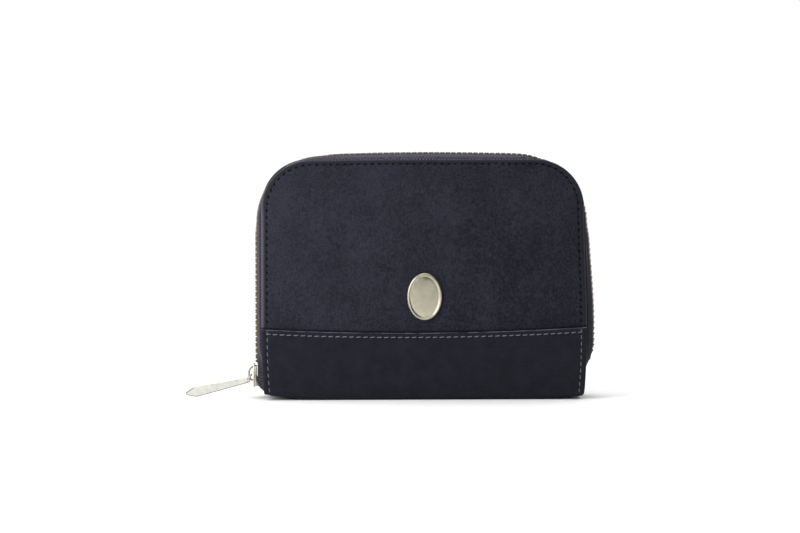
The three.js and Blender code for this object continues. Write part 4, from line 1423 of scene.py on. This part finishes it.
def dress_hidden_nodes():
    """The boards and the emblem's backing lie between other layers, in their CAD shape."""
    for node in ("front_stiffener", "back_stiffener", "spine_stiffener"):
        refinish(node, "board")
    refinish("emblem_backing", "brass")


def refinish(node, finish):
    data = frame["nodes"][node].data
    material, slot = FINISHES[finish]
    data.materials.clear()
    data.materials.append(material)


# ---- Stage, light and camera ----------------------------------------------------------

CAMERA_TARGET = Vector((-9.7, 0, 54.8))
CAMERA_AZIMUTH = math.radians(-2.3)
CAMERA_ELEVATION = math.radians(3.5)
CAMERA_DISTANCE = 1450.0
CAMERA_LENS = 156.2
LIT_MIDDLE = Vector((0, 0, 60))
STUDIO_BRIGHT = (-0.3, 0.85, 0.35)         # toward the studio's bright side
STUDIO_FADE = (-0.5, 0.7, 0.06, 1.0)       # how far round it fades, and its two strengths


def direction(azimuth, elevation):
    return Vector((math.sin(azimuth) * math.cos(elevation), -math.cos(azimuth) * math.cos(elevation),
                   math.sin(elevation)))


def add_camera():
    back = direction(CAMERA_AZIMUTH, CAMERA_ELEVATION)
    camera = add_object("camera", bpy.data.cameras.new("camera"))
    camera.data.lens = CAMERA_LENS
    camera.location = (CAMERA_TARGET + back * CAMERA_DISTANCE) * MM
    camera.rotation_euler = (-back).to_track_quat("-Z", "Y").to_euler()
    camera.data.clip_start = 0.05
    camera.data.clip_end = 60
    bpy.context.scene.camera = camera


def add_lamp(name, azimuth, elevation, strength, spread_angle):
    """A distant soft source: the same light all over the floor."""
    toward = direction(math.radians(azimuth), math.radians(elevation))
    lamp = add_object(name, bpy.data.lights.new(name, "SUN"))
    lamp.data.energy = strength
    lamp.data.angle = math.radians(spread_angle)
    lamp.rotation_euler = toward.to_track_quat("Z", "Y").to_euler()


def add_softbox(name, place, size, power):
    """A near square source at a place, aimed at the object's middle."""
    box = add_object(name, bpy.data.lights.new(name, "AREA"))
    box.data.shape = "SQUARE"
    box.data.size = size * MM
    box.data.energy = power
    box.location = Vector(place) * MM
    box.rotation_euler = (Vector(place) - LIT_MIDDLE).to_track_quat("Z", "Y").to_euler()


def add_floor():
    """A wide pale floor that stays under the object."""
    half = 30.0
    mesh = bpy.data.meshes.new("floor")
    corners = [(-half, -half, 0), (half, -half, 0), (half, half, 0), (-half, half, 0)]
    mesh.from_pydata(corners, [], [(0, 1, 2, 3)])
    shader = Shader("floor")
    shader.set(Roughness=0.9, Specular_IOR_Level=0.1, Base_Color=rgb(0.93, 0.93, 0.93))
    mesh.materials.append(shader.material)
    add_object("floor", mesh)


def add_world():
    """A white studio, darker on the right and where the camera stands."""
    world = bpy.data.worlds.new("studio")
    bpy.context.scene.world = world
    world.use_nodes = True
    tree = world.node_tree
    place = tree.nodes.new("ShaderNodeTexCoord")
    toward = tree.nodes.new("ShaderNodeVectorMath")
    toward.operation = "DOT_PRODUCT"
    toward.inputs[1].default_value = STUDIO_BRIGHT
    fade = tree.nodes.new("ShaderNodeMapRange")
    fade.interpolation_type = "SMOOTHSTEP"
    for socket, value in zip(list(fade.inputs)[1:5], STUDIO_FADE):
        socket.default_value = value
    tree.links.new(place.outputs["Generated"], toward.inputs[0])
    tree.links.new(toward.outputs["Value"], fade.inputs[0])
    tree.links.new(fade.outputs[0], tree.nodes["Background"].inputs["Strength"])
    tree.nodes["Background"].inputs["Color"].default_value = rgb(1, 1, 1)


def set_stage():
    add_camera()
    add_floor()
    add_world()
    add_lamp("top", azimuth=0, elevation=88, strength=1.75, spread_angle=60)
    add_softbox("side", (-340, -290, 210), size=250, power=1.6)
    bpy.context.scene.view_settings.view_transform = "Standard"


# ---- Assembly -------------------------------------------------------------------------

set_stage()
for cover, side in (("front", -1), ("back", 1)):
    cover_body = f"{cover}_cover"
    add_suede_panel(cover, cover_body, side)
    add_cover_stitches(cover, cover_body, side)
    add_tape(cover, cover_body, side)
    add_teeth(cover, cover_body, side)
    add_clip(f"{cover}_end_stop", cover_body, f"{cover}_top_stop")
    add_lining(cover, cover_body, side)
    add_card_pockets(cover, cover_body, side)
add_band()
add_clip("closed_end_stop", "back_cover", "zip_bottom_stop")
add_spine_lining()
add_gusset("left", -1)
add_gusset("right", 1)
add_slider()
add_slider_crown()
add_ring()
add_pull()
add_emblem()
add_coin_pocket()
add_coin_zip()
add_coin_slider()
add_coin_pull()
dress_hidden_nodes()
